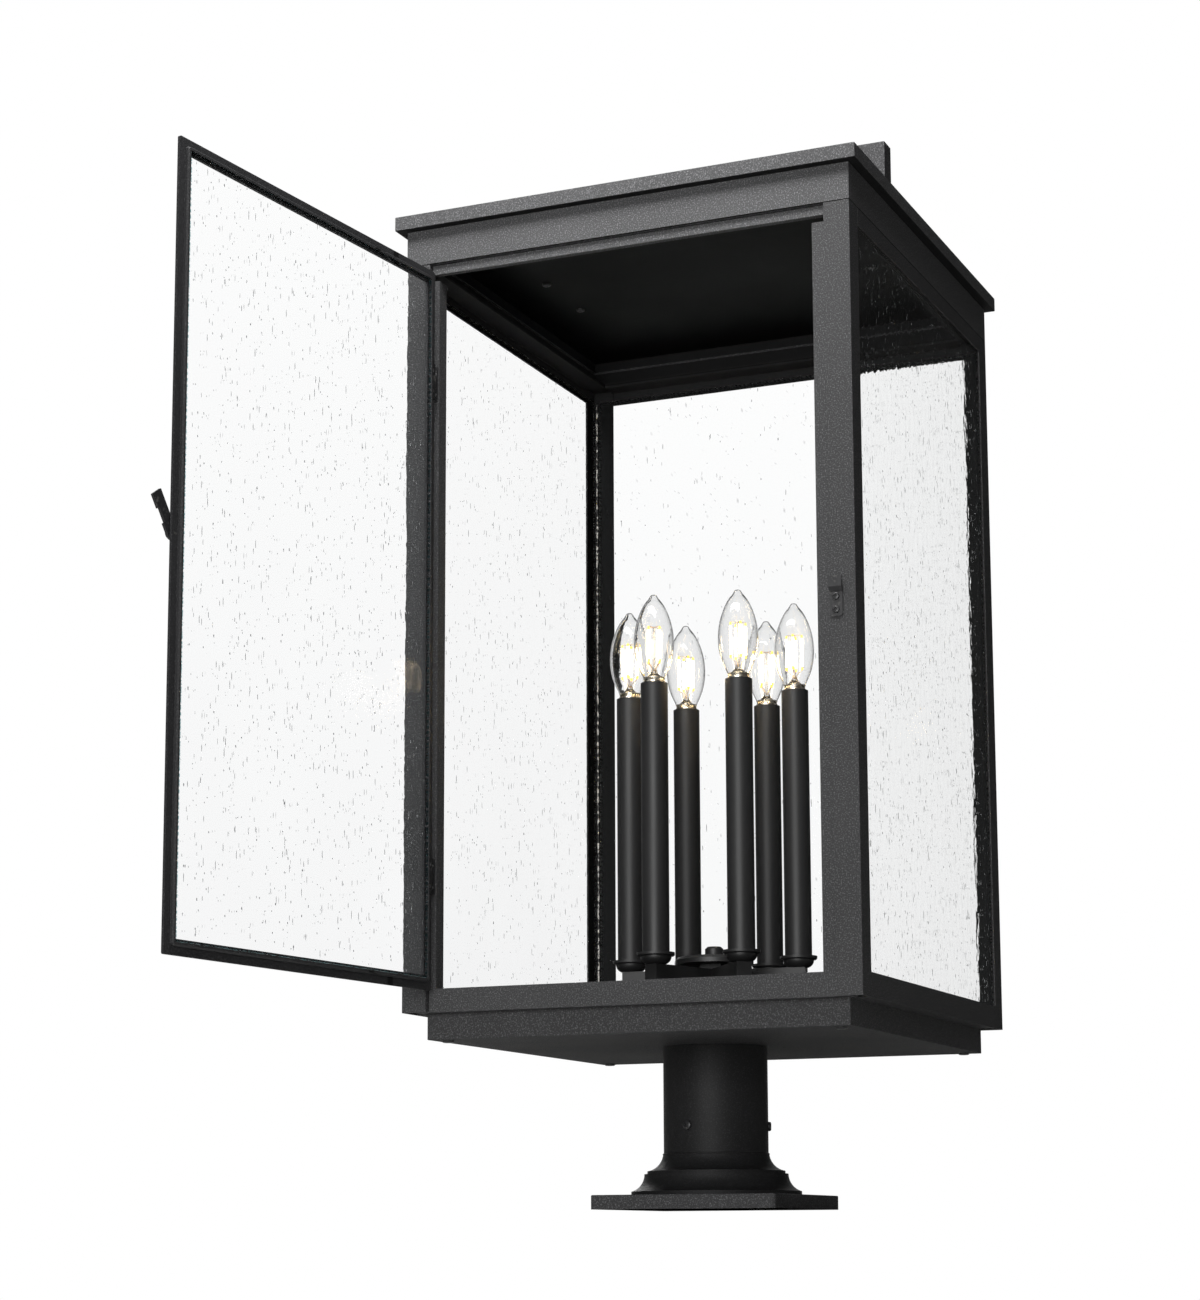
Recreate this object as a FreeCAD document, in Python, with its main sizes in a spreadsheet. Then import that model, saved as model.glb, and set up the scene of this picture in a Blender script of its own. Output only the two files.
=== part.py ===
import FreeCAD, Part
import math
import os
import Sketcher

# Pier mount light: a square glazed lantern on a round fitter, its glass door standing open.
# Millimetres, +Z up. The origin is the middle of the base plate's underside, and the door is on
# the -Y side, hinged on the left.

DOC = FreeCAD.newDocument("pier_mount_light")

# Driving dimensions, one named cell each.
DIMENSIONS = (
    # Base plate and its four anchor holes
    ("plate_margin", 9.5), ("plate_thick", 12.0), ("plate_corner", 4.0), ("plate_round", 1.0),
    ("anchor_inset", 17.5), ("anchor_radius", 4.5), ("wire_hole_radius", 12.0),
    # Pier flange, turned in two hollowed steps
    ("flange_height", 34.9), ("flange_rim", 3.3), ("lower_cove_rise", 14.8),
    ("lower_cove_run", 11.3), ("step_ledge", 2.6), ("step_rise", 2.5), ("upper_cove_run", 13.6),
    ("neck_shoulder", 0.6), ("flange_wall", 4.5), ("cove_share", 0.17),
    # Spigot and the column sleeve over it
    ("spigot_radius", 38.1), ("spigot_wall", 3.0), ("spigot_drop", 14.7), ("sleeve_wall", 5.4),
    ("sleeve_height", 91.8), ("sleeve_play", 1.4), ("sleeve_web", 6.0),
    ("set_screw_rise", 23.4), ("set_screw_degrees", 19.0), ("set_screw_radius", 2.4),
    ("set_screw_head", 4.0), ("set_screw_stand", 2.5), ("set_screw_play", 0.1),
    # Tray under the body
    ("tray_inset", 15.8), ("tray_height", 21.7), ("sheet_wall", 2.0), ("weep_radius", 1.6),
    ("weep_x", 53.0), ("weep_y", 28.0), ("tray_screw_inset_x", 12.2), ("tray_screw_inset_y", 14.2),
    ("tray_screw_radius", 2.0), ("tray_screw_head", 5.0), ("tray_screw_dome", 3.0),
    ("tray_screw_end", 2.0),
    # Body: corner posts, rails, floor
    ("body_side", 400.0), ("post_height", 642.6), ("post_leg", 22.0), ("angle_wall", 2.0),
    ("edge_round", 0.6), ("rail_height", 19.6), ("top_rail_height", 14.4), ("floor_gap", 0.5),
    # Frame of the door opening
    ("stile_recess", 4.5), ("stile_depth", 14.0), ("stile_tuck", 12.0), ("hinge_stile_face", 7.0),
    ("stile_drop", 14.0), ("head_recess", 3.5), ("head_depth", 6.0),
    ("head_height", 7.8), ("head_drop", 0.8), ("stile_round", 1.5),
    # Header, ceiling, roof cap and handle arch
    ("header_height", 31.7), ("roof_overhang", 8.0), ("roof_height", 12.4), ("roof_lip", 18.0),
    ("handle_inset", 37.0), ("handle_rise", 81.0), ("handle_width", 20.0), ("handle_depth", 18.3),
    ("handle_wall", 2.0), ("ceiling_screw_inset", 56.0), ("ceiling_screw_y", 38.0),
    ("ceiling_screw_radius", 2.0), ("ceiling_screw_head", 4.0), ("ceiling_screw_stand", 2.2),
    # Glass
    ("glass_thick", 3.0), ("glass_corner_gap", 3.0), ("glass_drop", 11.0),
    # Door
    ("door_gap", 1.2), ("strike_gap", 5.8), ("door_lap", 2.4), ("door_head_gap", 9.3),
    ("door_flange", 2.5), ("door_flange_width", 12.0), ("door_stop_gap", 0.7), ("strike_stop_gap", 0.3),
    ("door_stop_width", 3.0), ("door_stop_height", 3.5), ("door_stop_bevel", 1.2),
    ("door_corner", 1.5), ("door_stop_corner", 2.5), ("door_glass_gap", 0.3),
    ("door_open_degrees", 96.245), ("door_edge_round", 0.5),
    # Hinges
    ("pin_stand", 3.2), ("pin_radius", 1.2), ("pin_play", 0.05), ("pin_head", 2.0),
    ("pin_head_height", 1.0), ("knuckle_radius", 2.5), ("knuckle_gap", 0.15), ("leaf_thick", 0.8),
    ("leaf_height", 30.0), ("leaf_width", 6.0), ("upper_hinge_drop", 106.0),
    ("lower_hinge_rise", 112.6), ("leaf_screw_pitch", 18.0), ("leaf_screw_radius", 0.9),
    ("leaf_screw_head", 1.6), ("leaf_screw_reach", 8.0), ("leaf_screw_inset", 3.4),
    # Latch lever, its pivot and the keeper
    ("lever_seat", 0.7), ("lever_inset", 4.0), ("lever_reach", 33.0), ("lever_half_width", 5.5),
    ("lever_thick", 2.2), ("lever_gap", 0.4), ("lever_degrees", 55.5), ("notch_depth", 2.0),
    ("notch_play", 1.2), ("pivot_radius", 2.0), ("pivot_play", 0.05), ("pivot_head", 4.0),
    ("pivot_head_height", 1.5), ("pivot_washer", 3.2), ("pivot_end_gap", 0.1),
    ("keeper_inset", 0.4), ("keeper_width", 10.8), ("keeper_thick", 1.2), ("keeper_rise", 299.6),
    ("keeper_foot", 20.0), ("keeper_joggle", 3.7), ("keeper_lip", 8.6), ("keeper_lip_play", 0.4),
    ("keeper_corner", 3.0), ("keeper_screw_radius", 1.5), ("keeper_screw_head", 3.0),
    ("keeper_screw_stand", 1.6), ("keeper_screw_reach", 9.0), ("keeper_screw_low", 5.5),
    ("keeper_screw_high", 16.2),
    # Centre nipple and its nuts
    ("nipple_radius", 5.0), ("nipple_bore", 3.5), ("nipple_tail", 14.7), ("nipple_play", 0.1),
    ("nut_radius", 9.2), ("nut_height", 6.0),
    # Candle cluster
    ("candle_ring", 74.0), ("candle_degrees", -50.7), ("arm_rise", 31.55), ("arm_side", 13.25),
    ("hub_block_side", 19.0), ("hub_block_height", 4.5), ("hub_radius", 34.0), ("hub_height", 6.2),
    ("hub_round", 2.4), ("finial_radius", 8.0), ("finial_height", 9.4), ("finial_bore_depth", 4.0),
    ("finial_round", 2.0), ("cup_height", 6.9), ("cup_radius", 13.25), ("cup_foot_radius", 8.0),
    ("cup_share", 0.18), ("bobeche_radius", 16.1), ("bobeche_height", 3.0), ("bobeche_round", 0.9),
    ("sleeve_tube_radius", 11.7), ("sleeve_tube_wall", 1.0), ("candle_height", 232.4),
    ("socket_gap", 0.3), ("socket_height", 44.0), ("stem_radius", 5.0), ("stem_play", 0.1),
    # Bulb
    ("base_shell_radius", 6.0), ("base_shell_height", 19.0), ("base_play", 0.15),
    ("collar_radius", 9.6), ("collar_height", 4.8), ("bulb_radius", 17.4), ("bulb_height", 73.4),
    ("bulb_wall", 0.7), ("bulb_stem_radius", 2.6), ("bulb_stem_gap", 1.283),
    ("bulb_stem_height", 45.0), ("bulb_stem_slim", 0.7), ("wire_thick", 0.6), ("wire_rise", 13.0),
    ("filament_ring", 6.8), ("filament_radius", 0.9),
)

SHEET = DOC.addObject("Spreadsheet::Sheet", "Sizes")
for row, (alias, number) in enumerate(DIMENSIONS, 1):
    SHEET.set("A%d" % row, alias)
    SHEET.set("B%d" % row, str(number))
    SHEET.setAlias("B%d" % row, alias)
DOC.recompute()


class Size:
    """A named size, or one worked out from named sizes: its number and its formula."""

    def __init__(self, number, formula):
        self.number = number
        self.formula = formula

    def joined(self, sign, other, number):
        return Size(number, "(%s %s %s)" % (self.formula, sign, sized(other).formula))

    def __add__(self, other):
        return self.joined("+", other, self.number + sized(other).number)

    def __sub__(self, other):
        return self.joined("-", other, self.number - sized(other).number)

    def __mul__(self, other):
        return self.joined("*", other, self.number * sized(other).number)

    def __truediv__(self, other):
        return self.joined("/", other, self.number / sized(other).number)

    def __neg__(self):
        return Size(-self.number, "(0 - %s)" % self.formula)


def sized(value):
    return value if isinstance(value, Size) else Size(float(value), "(%s)" % repr(value))


def root(size):
    return Size(math.sqrt(size.number), "sqrt(%s)" % size.formula)


def cosine(turn):
    return Size(math.cos(math.radians(turn.number)), "cos(%s)" % turn.formula)


def sine(turn):
    return Size(math.sin(math.radians(turn.number)), "sin(%s)" % turn.formula)


class Names:
    pass


s = Names()
for alias, number in DIMENSIONS:
    setattr(s, alias, Size(float(SHEET.get(alias)), "Sizes." + alias))

ZERO = sized(0)
FULL_TURN = sized(360)
NODES = []


def node(name, thing):
    """Keep a finished piece under its node's name."""
    thing.Label = name
    NODES.append(thing)
    return thing


def box(name, x, y, z):
    """Box between a low and a high place on each axis."""
    solid = DOC.addObject("Part::Box", name)
    for axis, edge, (low, high) in zip("xyz", ("Length", "Width", "Height"), (x, y, z)):
        solid.setExpression(edge, (sized(high) - low).formula)
        solid.setExpression("Placement.Base." + axis, sized(low).formula)
    return solid


UPRIGHT = "rotation(vector(0; 0; 1); 0)"
ALONG_Y = "rotation(vector(1; 0; 0); -90)"
ALONG_X = "rotation(vector(0; 1; 0); 90)"


def place(x, y, z, turn=UPRIGHT):
    spot = tuple(sized(value).formula for value in (x, y, z))
    return "placement(vector(%s; %s; %s); %s)" % (spot + (turn,))


def rod(name, radius, low, high, x=0, y=0, z=0, along="z"):
    """Round bar from low to high along one axis, at the place that the other two give."""
    solid = DOC.addObject("Part::Cylinder", name)
    solid.setExpression("Radius", radius.formula)
    solid.setExpression("Height", (sized(high) - low).formula)
    spots = {"z": place(x, y, low), "y": place(x, low, z, ALONG_Y), "x": place(low, y, z, ALONG_X)}
    solid.setExpression("Placement", spots[along])
    return solid


def fuse(name, *pieces):
    joined = DOC.addObject("Part::MultiFuse", name)
    joined.Shapes = list(pieces)
    joined.Refine = True
    return joined


def cut(name, base, *tools):
    """Base less its tools. A tool that takes nothing away stops the build."""
    left = DOC.addObject("Part::Cut", name)
    left.Base = base
    left.Tool = tools[0] if len(tools) == 1 else fuse(name + "_tools", *tools)
    DOC.recompute()
    if left.Shape.Volume >= base.Shape.Volume:
        raise RuntimeError(name + " removes nothing")
    return left


def group(name, *pieces):
    together = DOC.addObject("Part::Compound", name)
    together.Links = list(pieces)
    return together


def new_body(name):
    return DOC.addObject("PartDesign::Body", name)


NORMAL_SIGNS = {"XY_Plane": 1, "XZ_Plane": -1, "YZ_Plane": 1}


def outline(body, plane, points, offset):
    """Closed sketch whose corners are held by named distances.

    A point is (across, up), or (across, up, share) where the edge that leaves it is an arc: share is
    the arc's rise over its chord, above 0 to the right of the way round and below 0 to the left.
    """
    sketch = body.newObject("Sketcher::SketchObject", body.Name + "_outline")
    support = [part for part in body.Origin.OriginFeatures if part.Role == plane][0]
    sketch.AttachmentSupport = [(support, "")]
    sketch.MapMode = "FlatFace"
    sketch.setExpression("AttachmentOffset.Base.z", offset.formula)
    corners = [(sized(point[0]), sized(point[1])) for point in points]
    spots = [FreeCAD.Vector(across.number, up.number, 0) for across, up in corners]
    starts = []
    radii = {}
    for index, point in enumerate(points):
        after = (index + 1) % len(points)
        first, last = spots[index], spots[after]
        if len(point) == 2:
            sketch.addGeometry(Part.LineSegment(first, last), False)
            starts.append(1)
            continue
        share = point[2]
        wide = corners[after][0] - corners[index][0]
        high = corners[after][1] - corners[index][1]
        rise = share if share.number > 0 else -share
        radius = root(wide * wide + high * high) * (rise * rise + 0.25) / (rise * 2)
        chord = last.sub(first)
        bulge = FreeCAD.Vector(chord.y, -chord.x, 0).multiply(share.number)
        middle = first.add(chord.multiply(0.5)).add(bulge)
        arc = Part.Arc(first, middle, last).toShape().Curve
        begin = math.atan2(first.y - arc.Center.y, first.x - arc.Center.x)
        finish = math.atan2(last.y - arc.Center.y, last.x - arc.Center.x)
        turns_left = share.number > 0
        span = (begin, finish) if turns_left else (finish, begin)
        circle = Part.Circle(arc.Center, FreeCAD.Vector(0, 0, 1), arc.Radius)
        sketch.addGeometry(Part.ArcOfCircle(circle, *span), False)
        starts.append(1 if turns_left else 2)
        radii[index] = radius
    for index in range(len(points)):
        after = (index + 1) % len(points)
        sketch.addConstraint(
            Sketcher.Constraint("Coincident", index, 3 - starts[index], after, starts[after]))
    for index, (across, up) in enumerate(corners):
        for kind, size in (("DistanceX", across), ("DistanceY", up)):
            held = sketch.addConstraint(
                Sketcher.Constraint(kind, -1, 1, index, starts[index], size.number))
            sketch.setExpression("Constraints[%d]" % held, size.formula)
    for index, radius in radii.items():
        held = sketch.addConstraint(Sketcher.Constraint("Radius", index, radius.number))
        sketch.setExpression("Constraints[%d]" % held, radius.formula)
    return sketch


def pad(body, plane, points, low, high):
    """Add the outline's solid from low to high along the plane's own axis."""
    sign = NORMAL_SIGNS[plane]
    sketch = outline(body, plane, points, sized(low) if sign > 0 else -sized(high))
    feature = body.newObject("PartDesign::Pad", body.Name + "_pad")
    feature.Profile = sketch
    feature.setExpression("Length", (sized(high) - low).formula)
    DOC.recompute()
    return feature


def pocket(body, plane, points, low, high):
    """Cut the outline out from low to high along the plane's own axis."""
    sign = NORMAL_SIGNS[plane]
    before = body.Shape.Volume
    sketch = outline(body, plane, points, sized(high) if sign > 0 else -sized(low))
    feature = body.newObject("PartDesign::Pocket", body.Name + "_pocket")
    feature.Profile = sketch
    feature.setExpression("Length", (sized(high) - low).formula)
    DOC.recompute()
    if body.Shape.Volume >= before:
        raise RuntimeError(body.Name + " pocket cuts nothing")
    return feature


def dress(body, kind, size, wanted):
    """Fillet or chamfer the edges whose middle point and direction the test wants."""
    edges = []
    for index, edge in enumerate(body.Shape.Edges, 1):
        middle = edge.valueAt((edge.FirstParameter + edge.LastParameter) / 2)
        if edge.Curve.TypeId == "Part::GeomLine" and wanted(middle, edge.Curve.Direction):
            edges.append("Edge%d" % index)
    if not edges:
        raise RuntimeError(body.Name + " has no such edge")
    feature = body.newObject("PartDesign::" + kind, body.Name + "_" + kind.lower())
    feature.Base = (body.Tip if body.Tip is not feature else feature.BaseFeature, edges)
    feature.setExpression("Radius" if kind == "Fillet" else "Size", size.formula)
    body.Tip = feature
    DOC.recompute()
    return feature


def near(value, size):
    return abs(value - sized(size).number) < 0.01


def turned(name, points, x=0, y=0):
    """Solid turned round an upright axis from an outline of (radius, height) points."""
    body = new_body(name)
    sketch = outline(body, "XZ_Plane", points, ZERO)
    feature = body.newObject("PartDesign::Revolution", name + "_turn")
    feature.Profile = sketch
    feature.ReferenceAxis = (sketch, ["V_Axis"])
    feature.Angle = FULL_TURN.number
    body.setExpression("Placement", place(x, y, 0))
    DOC.recompute()
    return body


def cap_share(radius, rise):
    """Share of the arc from the pole of a round cap to its rim."""
    ball = (radius * radius + rise * rise) / (rise * 2)
    chord = root(radius * radius + rise * rise)
    return (ball - root(ball * ball - chord * chord / 4)) / chord


def rectangle(left, right, low, high):
    return [(left, low), (right, low), (right, high), (left, high)]


def square(half):
    return rectangle(-half, half, -half, half)


# Levels, from the ground up
plate_top = s.plate_thick
flange_top = plate_top + s.flange_height
tray_bottom = flange_top + s.sleeve_height
body_bottom = tray_bottom + s.tray_height
header_bottom = body_bottom + s.post_height
roof_bottom = header_bottom + s.header_height
roof_top = roof_bottom + s.roof_height
handle_top = roof_top + s.handle_rise
rail_top = body_bottom + s.rail_height
ledge_top = body_bottom + s.angle_wall
web_bottom = tray_bottom - s.sleeve_web
spigot_top = web_bottom - s.spigot_drop

# Radii of the fitter, each from the one inside it
spigot_bore = s.spigot_radius + s.sleeve_play
sleeve_radius = spigot_bore + s.sleeve_wall
neck_radius = sleeve_radius + s.neck_shoulder
step_radius = neck_radius + s.upper_cove_run
lower_cove_radius = step_radius + s.step_ledge
flange_radius = lower_cove_radius + s.lower_cove_run
plate_half = flange_radius + s.plate_margin
anchor_place = plate_half - s.anchor_inset

# Half widths
half = s.body_side / 2
opening = half - s.post_leg
glazing = half - s.angle_wall
front = -half
tray_half = half - s.tray_inset
roof_half = half + s.roof_overhang

# Base plate: thick square plate with anchor holes near its corners and a wire hole
plate = new_body("plate_blank")
pad(plate, "XY_Plane", square(plate_half), ZERO, plate_top)
dress(plate, "Fillet", s.plate_corner, lambda middle, way: abs(way.z) > 0.9)
dress(plate, "Fillet", s.plate_round,
      lambda middle, way: near(middle.z, plate_top) and abs(way.z) < 0.1)
anchors = []
for side in (1, -1):
    for end in (1, -1):
        anchors.append(rod("anchor_hole", s.anchor_radius, ZERO, plate_top,
                           anchor_place * side, anchor_place * end))
node("base_plate", cut("plate_drilled", plate, rod("wire_hole", s.wire_hole_radius, ZERO, plate_top),
                       *anchors))

# Pier flange: turned casting, hollow below, in two hollowed steps
flange_rim_top = plate_top + s.flange_rim
lower_cove_top = flange_rim_top + s.lower_cove_rise
step_top = lower_cove_top + s.step_rise
flange = turned("flange_turning", [
    (flange_radius, plate_top),
    (flange_radius, flange_rim_top, -s.cove_share),
    (lower_cove_radius, lower_cove_top),
    (step_radius, lower_cove_top),
    (step_radius, step_top, -s.cove_share),
    (neck_radius, flange_top),
    (spigot_bore, flange_top),
    (spigot_bore, flange_top - s.flange_wall),
    (neck_radius - s.flange_wall, flange_top - s.flange_wall),
    (step_radius - s.flange_wall * 2, lower_cove_top - s.flange_wall),
    (flange_radius - s.flange_wall, plate_top),
])
node("pier_flange", flange)

# Spigot: three inch tube welded upright on the plate
node("pier_spigot", cut("spigot_tube", rod("spigot_bar", s.spigot_radius, plate_top, spigot_top),
                        rod("spigot_hollow", s.spigot_radius - s.spigot_wall, plate_top,
                            spigot_top)))

# Set screws: three button heads round the sleeve, their points on the spigot
set_screw_level = flange_top + s.set_screw_rise
SET_SCREWS = 3
set_screws = []
set_screw_holes = []
for step in range(SET_SCREWS):
    head = rod("set_screw_head", s.set_screw_head, sleeve_radius,
               sleeve_radius + s.set_screw_stand, z=set_screw_level, along="x")
    shank = rod("set_screw_shank", s.set_screw_radius, s.spigot_radius, sleeve_radius,
                z=set_screw_level, along="x")
    turn = "rotation(vector(0; 0; 1); %s)" % (s.set_screw_degrees + FULL_TURN / SET_SCREWS * step).formula
    screw = fuse("set_screw", head, shank)
    screw.setExpression("Placement", place(0, 0, 0, turn))
    set_screws.append(screw)
    drill = group("set_screw_drill", rod("set_screw_hole", s.set_screw_radius + s.set_screw_play,
                                         s.spigot_radius, sleeve_radius + s.set_screw_stand,
                                         z=set_screw_level, along="x"))
    drill.setExpression("Placement", place(0, 0, 0, turn))
    set_screw_holes.append(drill)
node("sleeve_set_screws", group("set_screw_group", *set_screws))

# Column sleeve: round tube closed by a web at its top, which the nipple clamps to the tray
sleeve = turned("sleeve_turning", [
    (sleeve_radius, flange_top),
    (sleeve_radius, tray_bottom),
    (s.nipple_radius + s.nipple_play, tray_bottom),
    (s.nipple_radius + s.nipple_play, web_bottom),
    (spigot_bore, web_bottom),
    (spigot_bore, flange_top),
])
node("column_sleeve", cut("sleeve_drilled", sleeve, *set_screw_holes))

# Tray screws: domed heads under the tray, their ends in the floor plate
floor_bottom = ledge_top
floor_top = floor_bottom + s.sheet_wall
tray_screws = []
for side in (1, -1):
    for end in (1, -1):
        screw_end = floor_top + s.tray_screw_end
        tray_screws.append(turned("tray_screw", [
            (0, tray_bottom - s.tray_screw_dome, cap_share(s.tray_screw_head, s.tray_screw_dome)),
            (s.tray_screw_head, tray_bottom),
            (s.tray_screw_radius, tray_bottom),
            (s.tray_screw_radius, screw_end),
            (0, screw_end),
        ], (tray_half - s.tray_screw_inset_x) * side, (tray_half - s.tray_screw_inset_y) * end))
node("tray_screws", group("tray_screw_group", *tray_screws))


def centre_hole(name, low, high):
    return rod(name, s.nipple_radius + s.nipple_play, low, high)


# Tray pan: square sheet pan under the body, with four weep holes
tray = new_body("tray_sheet")
pad(tray, "XY_Plane", square(tray_half), tray_bottom, body_bottom)
pocket(tray, "XY_Plane", square(tray_half - s.sheet_wall), tray_bottom + s.sheet_wall, body_bottom)
dress(tray, "Fillet", s.edge_round, lambda middle, way: (
    near(abs(middle.x), tray_half) and near(abs(middle.y), tray_half)
    or near(middle.z, tray_bottom)))
weeps = []
for side in (1, -1):
    for end in (1, -1):
        weeps.append(rod("weep_hole", s.weep_radius, tray_bottom, tray_bottom + s.sheet_wall,
                         s.weep_x * side, s.weep_y * end))
tray_pan = cut("tray_drilled", tray, centre_hole("tray_centre_hole", tray_bottom,
                                                 tray_bottom + s.sheet_wall), *weeps)
node("tray_pan", cut("tray_screwed", tray_pan, NODES[-1]))

# Floor plate: sheet on the ledges of the bottom rails
floor_half = glazing - s.glass_thick - s.floor_gap
stile_back = front + s.stile_recess + s.stile_depth
floor_sheet = cut("floor_drilled", box("floor_sheet", (-floor_half, floor_half),
                                       (stile_back, floor_half), (floor_bottom, floor_top)),
                  centre_hole("floor_centre_hole", floor_bottom, floor_top))
node("floor_plate", cut("floor_screwed", floor_sheet, group("floor_screw_tools", *tray_screws)))

# Keeper screws: two pan heads on the right front post, reaching into the strike stile
keeper_bottom = body_bottom + s.keeper_rise
keeper_face = front - s.keeper_thick
keeper_left = opening + s.keeper_inset
keeper_middle = keeper_left + s.keeper_width / 2
keeper_screws = []
for rise in (s.keeper_screw_low, s.keeper_screw_high):
    level = keeper_bottom + rise
    keeper_screws.append(fuse(
        "keeper_screw",
        rod("keeper_screw_head", s.keeper_screw_head, keeper_face - s.keeper_screw_stand,
            keeper_face, x=keeper_middle, z=level, along="y"),
        rod("keeper_screw_shank", s.keeper_screw_radius, keeper_face,
            keeper_face + s.keeper_screw_reach, x=keeper_middle, z=level, along="y")))
keeper_screw_group = node("keeper_screws", group("keeper_screw_group", *keeper_screws))

# Corner posts: four angles, their outer faces on the body's square
for label, side, end in (("front_left", -1, -1), ("front_right", 1, -1),
                         ("back_left", -1, 1), ("back_right", 1, 1)):
    post = new_body("post_" + label + "_angle")
    pad(post, "XY_Plane", [
        (half * side, half * end), (opening * side, half * end), (opening * side, glazing * end),
        (glazing * side, glazing * end), (glazing * side, opening * end),
        (half * side, opening * end)], body_bottom, header_bottom)
    dress(post, "Fillet", s.edge_round, lambda middle, way: (
        abs(way.z) > 0.9 and (near(abs(middle.x), half) or near(abs(middle.y), half))))
    if label == "front_right":
        post = cut("post_drilled", post, keeper_screw_group)
    node("post_" + label, post)

# Bottom and top rails between the posts: angles whose ledges point inwards
ledge_in = half - s.post_leg
RAILS = (("left", "XZ_Plane", -1), ("right", "XZ_Plane", 1), ("back", "YZ_Plane", 1))
top_rail_bottom = header_bottom - s.top_rail_height
for level, low, high, ledge_low, ledge_high in (
        ("bottom", body_bottom, rail_top, body_bottom, ledge_top),
        ("top", top_rail_bottom, header_bottom, header_bottom - s.angle_wall, header_bottom)):
    for label, plane, side in RAILS:
        rail = new_body(level + "_rail_" + label + "_angle")
        if level == "bottom":
            corners = [(half * side, low), (half * side, high), (glazing * side, high),
                       (glazing * side, ledge_high), (ledge_in * side, ledge_high),
                       (ledge_in * side, low)]
        else:
            corners = [(half * side, low), (half * side, high), (ledge_in * side, high),
                       (ledge_in * side, ledge_low), (glazing * side, ledge_low),
                       (glazing * side, low)]
        pad(rail, plane, corners, -opening, opening)
        node(level + "_rail_" + label, rail)

# Door hinges: places shared by the leaves, the pins, the screws and the stile
pin_x = -opening + s.door_gap
pin_y = front - s.pin_stand
stile_face = front + s.stile_recess
frame_leaf_face = stile_face - s.leaf_thick
door_inner = front + s.door_flange
door_leaf_face = door_inner + s.leaf_thick
knuckle_third = s.leaf_height / 3
hinge_levels = (body_bottom + s.lower_hinge_rise, header_bottom - s.upper_hinge_drop)


def leaf_screw(name, x, level, outer, inner, tip):
    """Flush countersunk screw: its head between outer and inner, its shank on to the tip."""
    head = DOC.addObject("Part::Cone", name + "_head")
    head.setExpression("Radius1", s.leaf_screw_head.formula)
    head.setExpression("Radius2", s.leaf_screw_radius.formula)
    head.setExpression("Height", s.leaf_thick.formula)
    inwards = inner.number > outer.number
    turn = ALONG_Y if inwards else "rotation(vector(1; 0; 0); 90)"
    head.setExpression("Placement", place(x, outer, level, turn))
    low, high = (inner, tip) if inwards else (tip, inner)
    shank = rod(name + "_shank", s.leaf_screw_radius, low, high, x=x, z=level, along="y")
    return fuse(name, head, shank)


def leaf_screws(name, x, outer, inner, tip):
    screws = []
    for middle in hinge_levels:
        for side in (-1, 1):
            level = middle + s.leaf_screw_pitch / 2 * side
            screws.append(leaf_screw(name, x, level, outer, inner, tip))
    return group(name + "_group", *screws)


frame_screws = node("frame_leaf_screws", leaf_screws(
    "frame_leaf_screw", -opening + s.leaf_screw_inset, frame_leaf_face, stile_face,
    stile_face + s.leaf_screw_reach))
door_screws = leaf_screws("door_leaf_screw", pin_x + s.leaf_screw_inset, door_leaf_face, door_inner,
                          front + s.door_edge_round)

# Frame of the door opening: sill, two stiles tucked behind the posts, head strip. The door's stop
# passes just inside both stiles.
door_stop_inset = s.hinge_stile_face - s.door_gap + s.door_stop_gap
strike_stile_face = s.strike_gap + door_stop_inset - s.strike_stop_gap
tucked = opening + s.stile_tuck
sill = new_body("sill_bar")
pad(sill, "XY_Plane", [
    (-tucked, front + s.angle_wall), (-opening, front + s.angle_wall), (-opening, stile_face),
    (opening, stile_face), (opening, front + s.angle_wall), (tucked, front + s.angle_wall),
    (tucked, stile_back), (-tucked, stile_back)], body_bottom, rail_top)
node("sill_rail", sill)
stile_top = header_bottom - s.stile_drop
for label, side, face in (("hinge_stile", -1, s.hinge_stile_face),
                          ("strike_stile", 1, strike_stile_face)):
    stile = new_body(label + "_bar")
    pad(stile, "XY_Plane", [
        (tucked * side, front + s.angle_wall), (opening * side, front + s.angle_wall),
        (opening * side, stile_face), ((opening - face) * side, stile_face),
        ((opening - face) * side, stile_back), (tucked * side, stile_back)], rail_top, stile_top)
    dress(stile, "Fillet", s.stile_round, lambda middle, way: (
        abs(way.z) > 0.9 and near(abs(middle.x), opening - face) and near(middle.y, stile_face)))
    held = frame_screws if side < 0 else keeper_screw_group
    node(label, cut(label + "_drilled", stile, held))
head_face = front + s.head_recess
head_top = header_bottom - s.head_drop
head = new_body("head_bar")
pad(head, "XY_Plane", [
    (-tucked, front + s.angle_wall), (-opening, front + s.angle_wall), (-opening, head_face),
    (opening, head_face), (opening, front + s.angle_wall), (tucked, front + s.angle_wall),
    (tucked, head_face + s.head_depth), (-tucked, head_face + s.head_depth)],
    head_top - s.head_height, head_top)
node("head_strip", head)

# Header box: sheet fascia with a flange turned in at its foot
header = new_body("header_sheet")
pad(header, "XY_Plane", square(half), header_bottom, roof_bottom)
pocket(header, "XY_Plane", square(glazing), header_bottom + s.sheet_wall, roof_bottom)
pocket(header, "XY_Plane", square(opening), header_bottom, header_bottom + s.sheet_wall)
dress(header, "Fillet", s.edge_round, lambda middle, way: (
    near(abs(middle.x), half) and near(abs(middle.y), half)
    or near(middle.z, header_bottom) and (near(abs(middle.x), half) or near(abs(middle.y), half))))
node("header_box", header)

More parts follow.
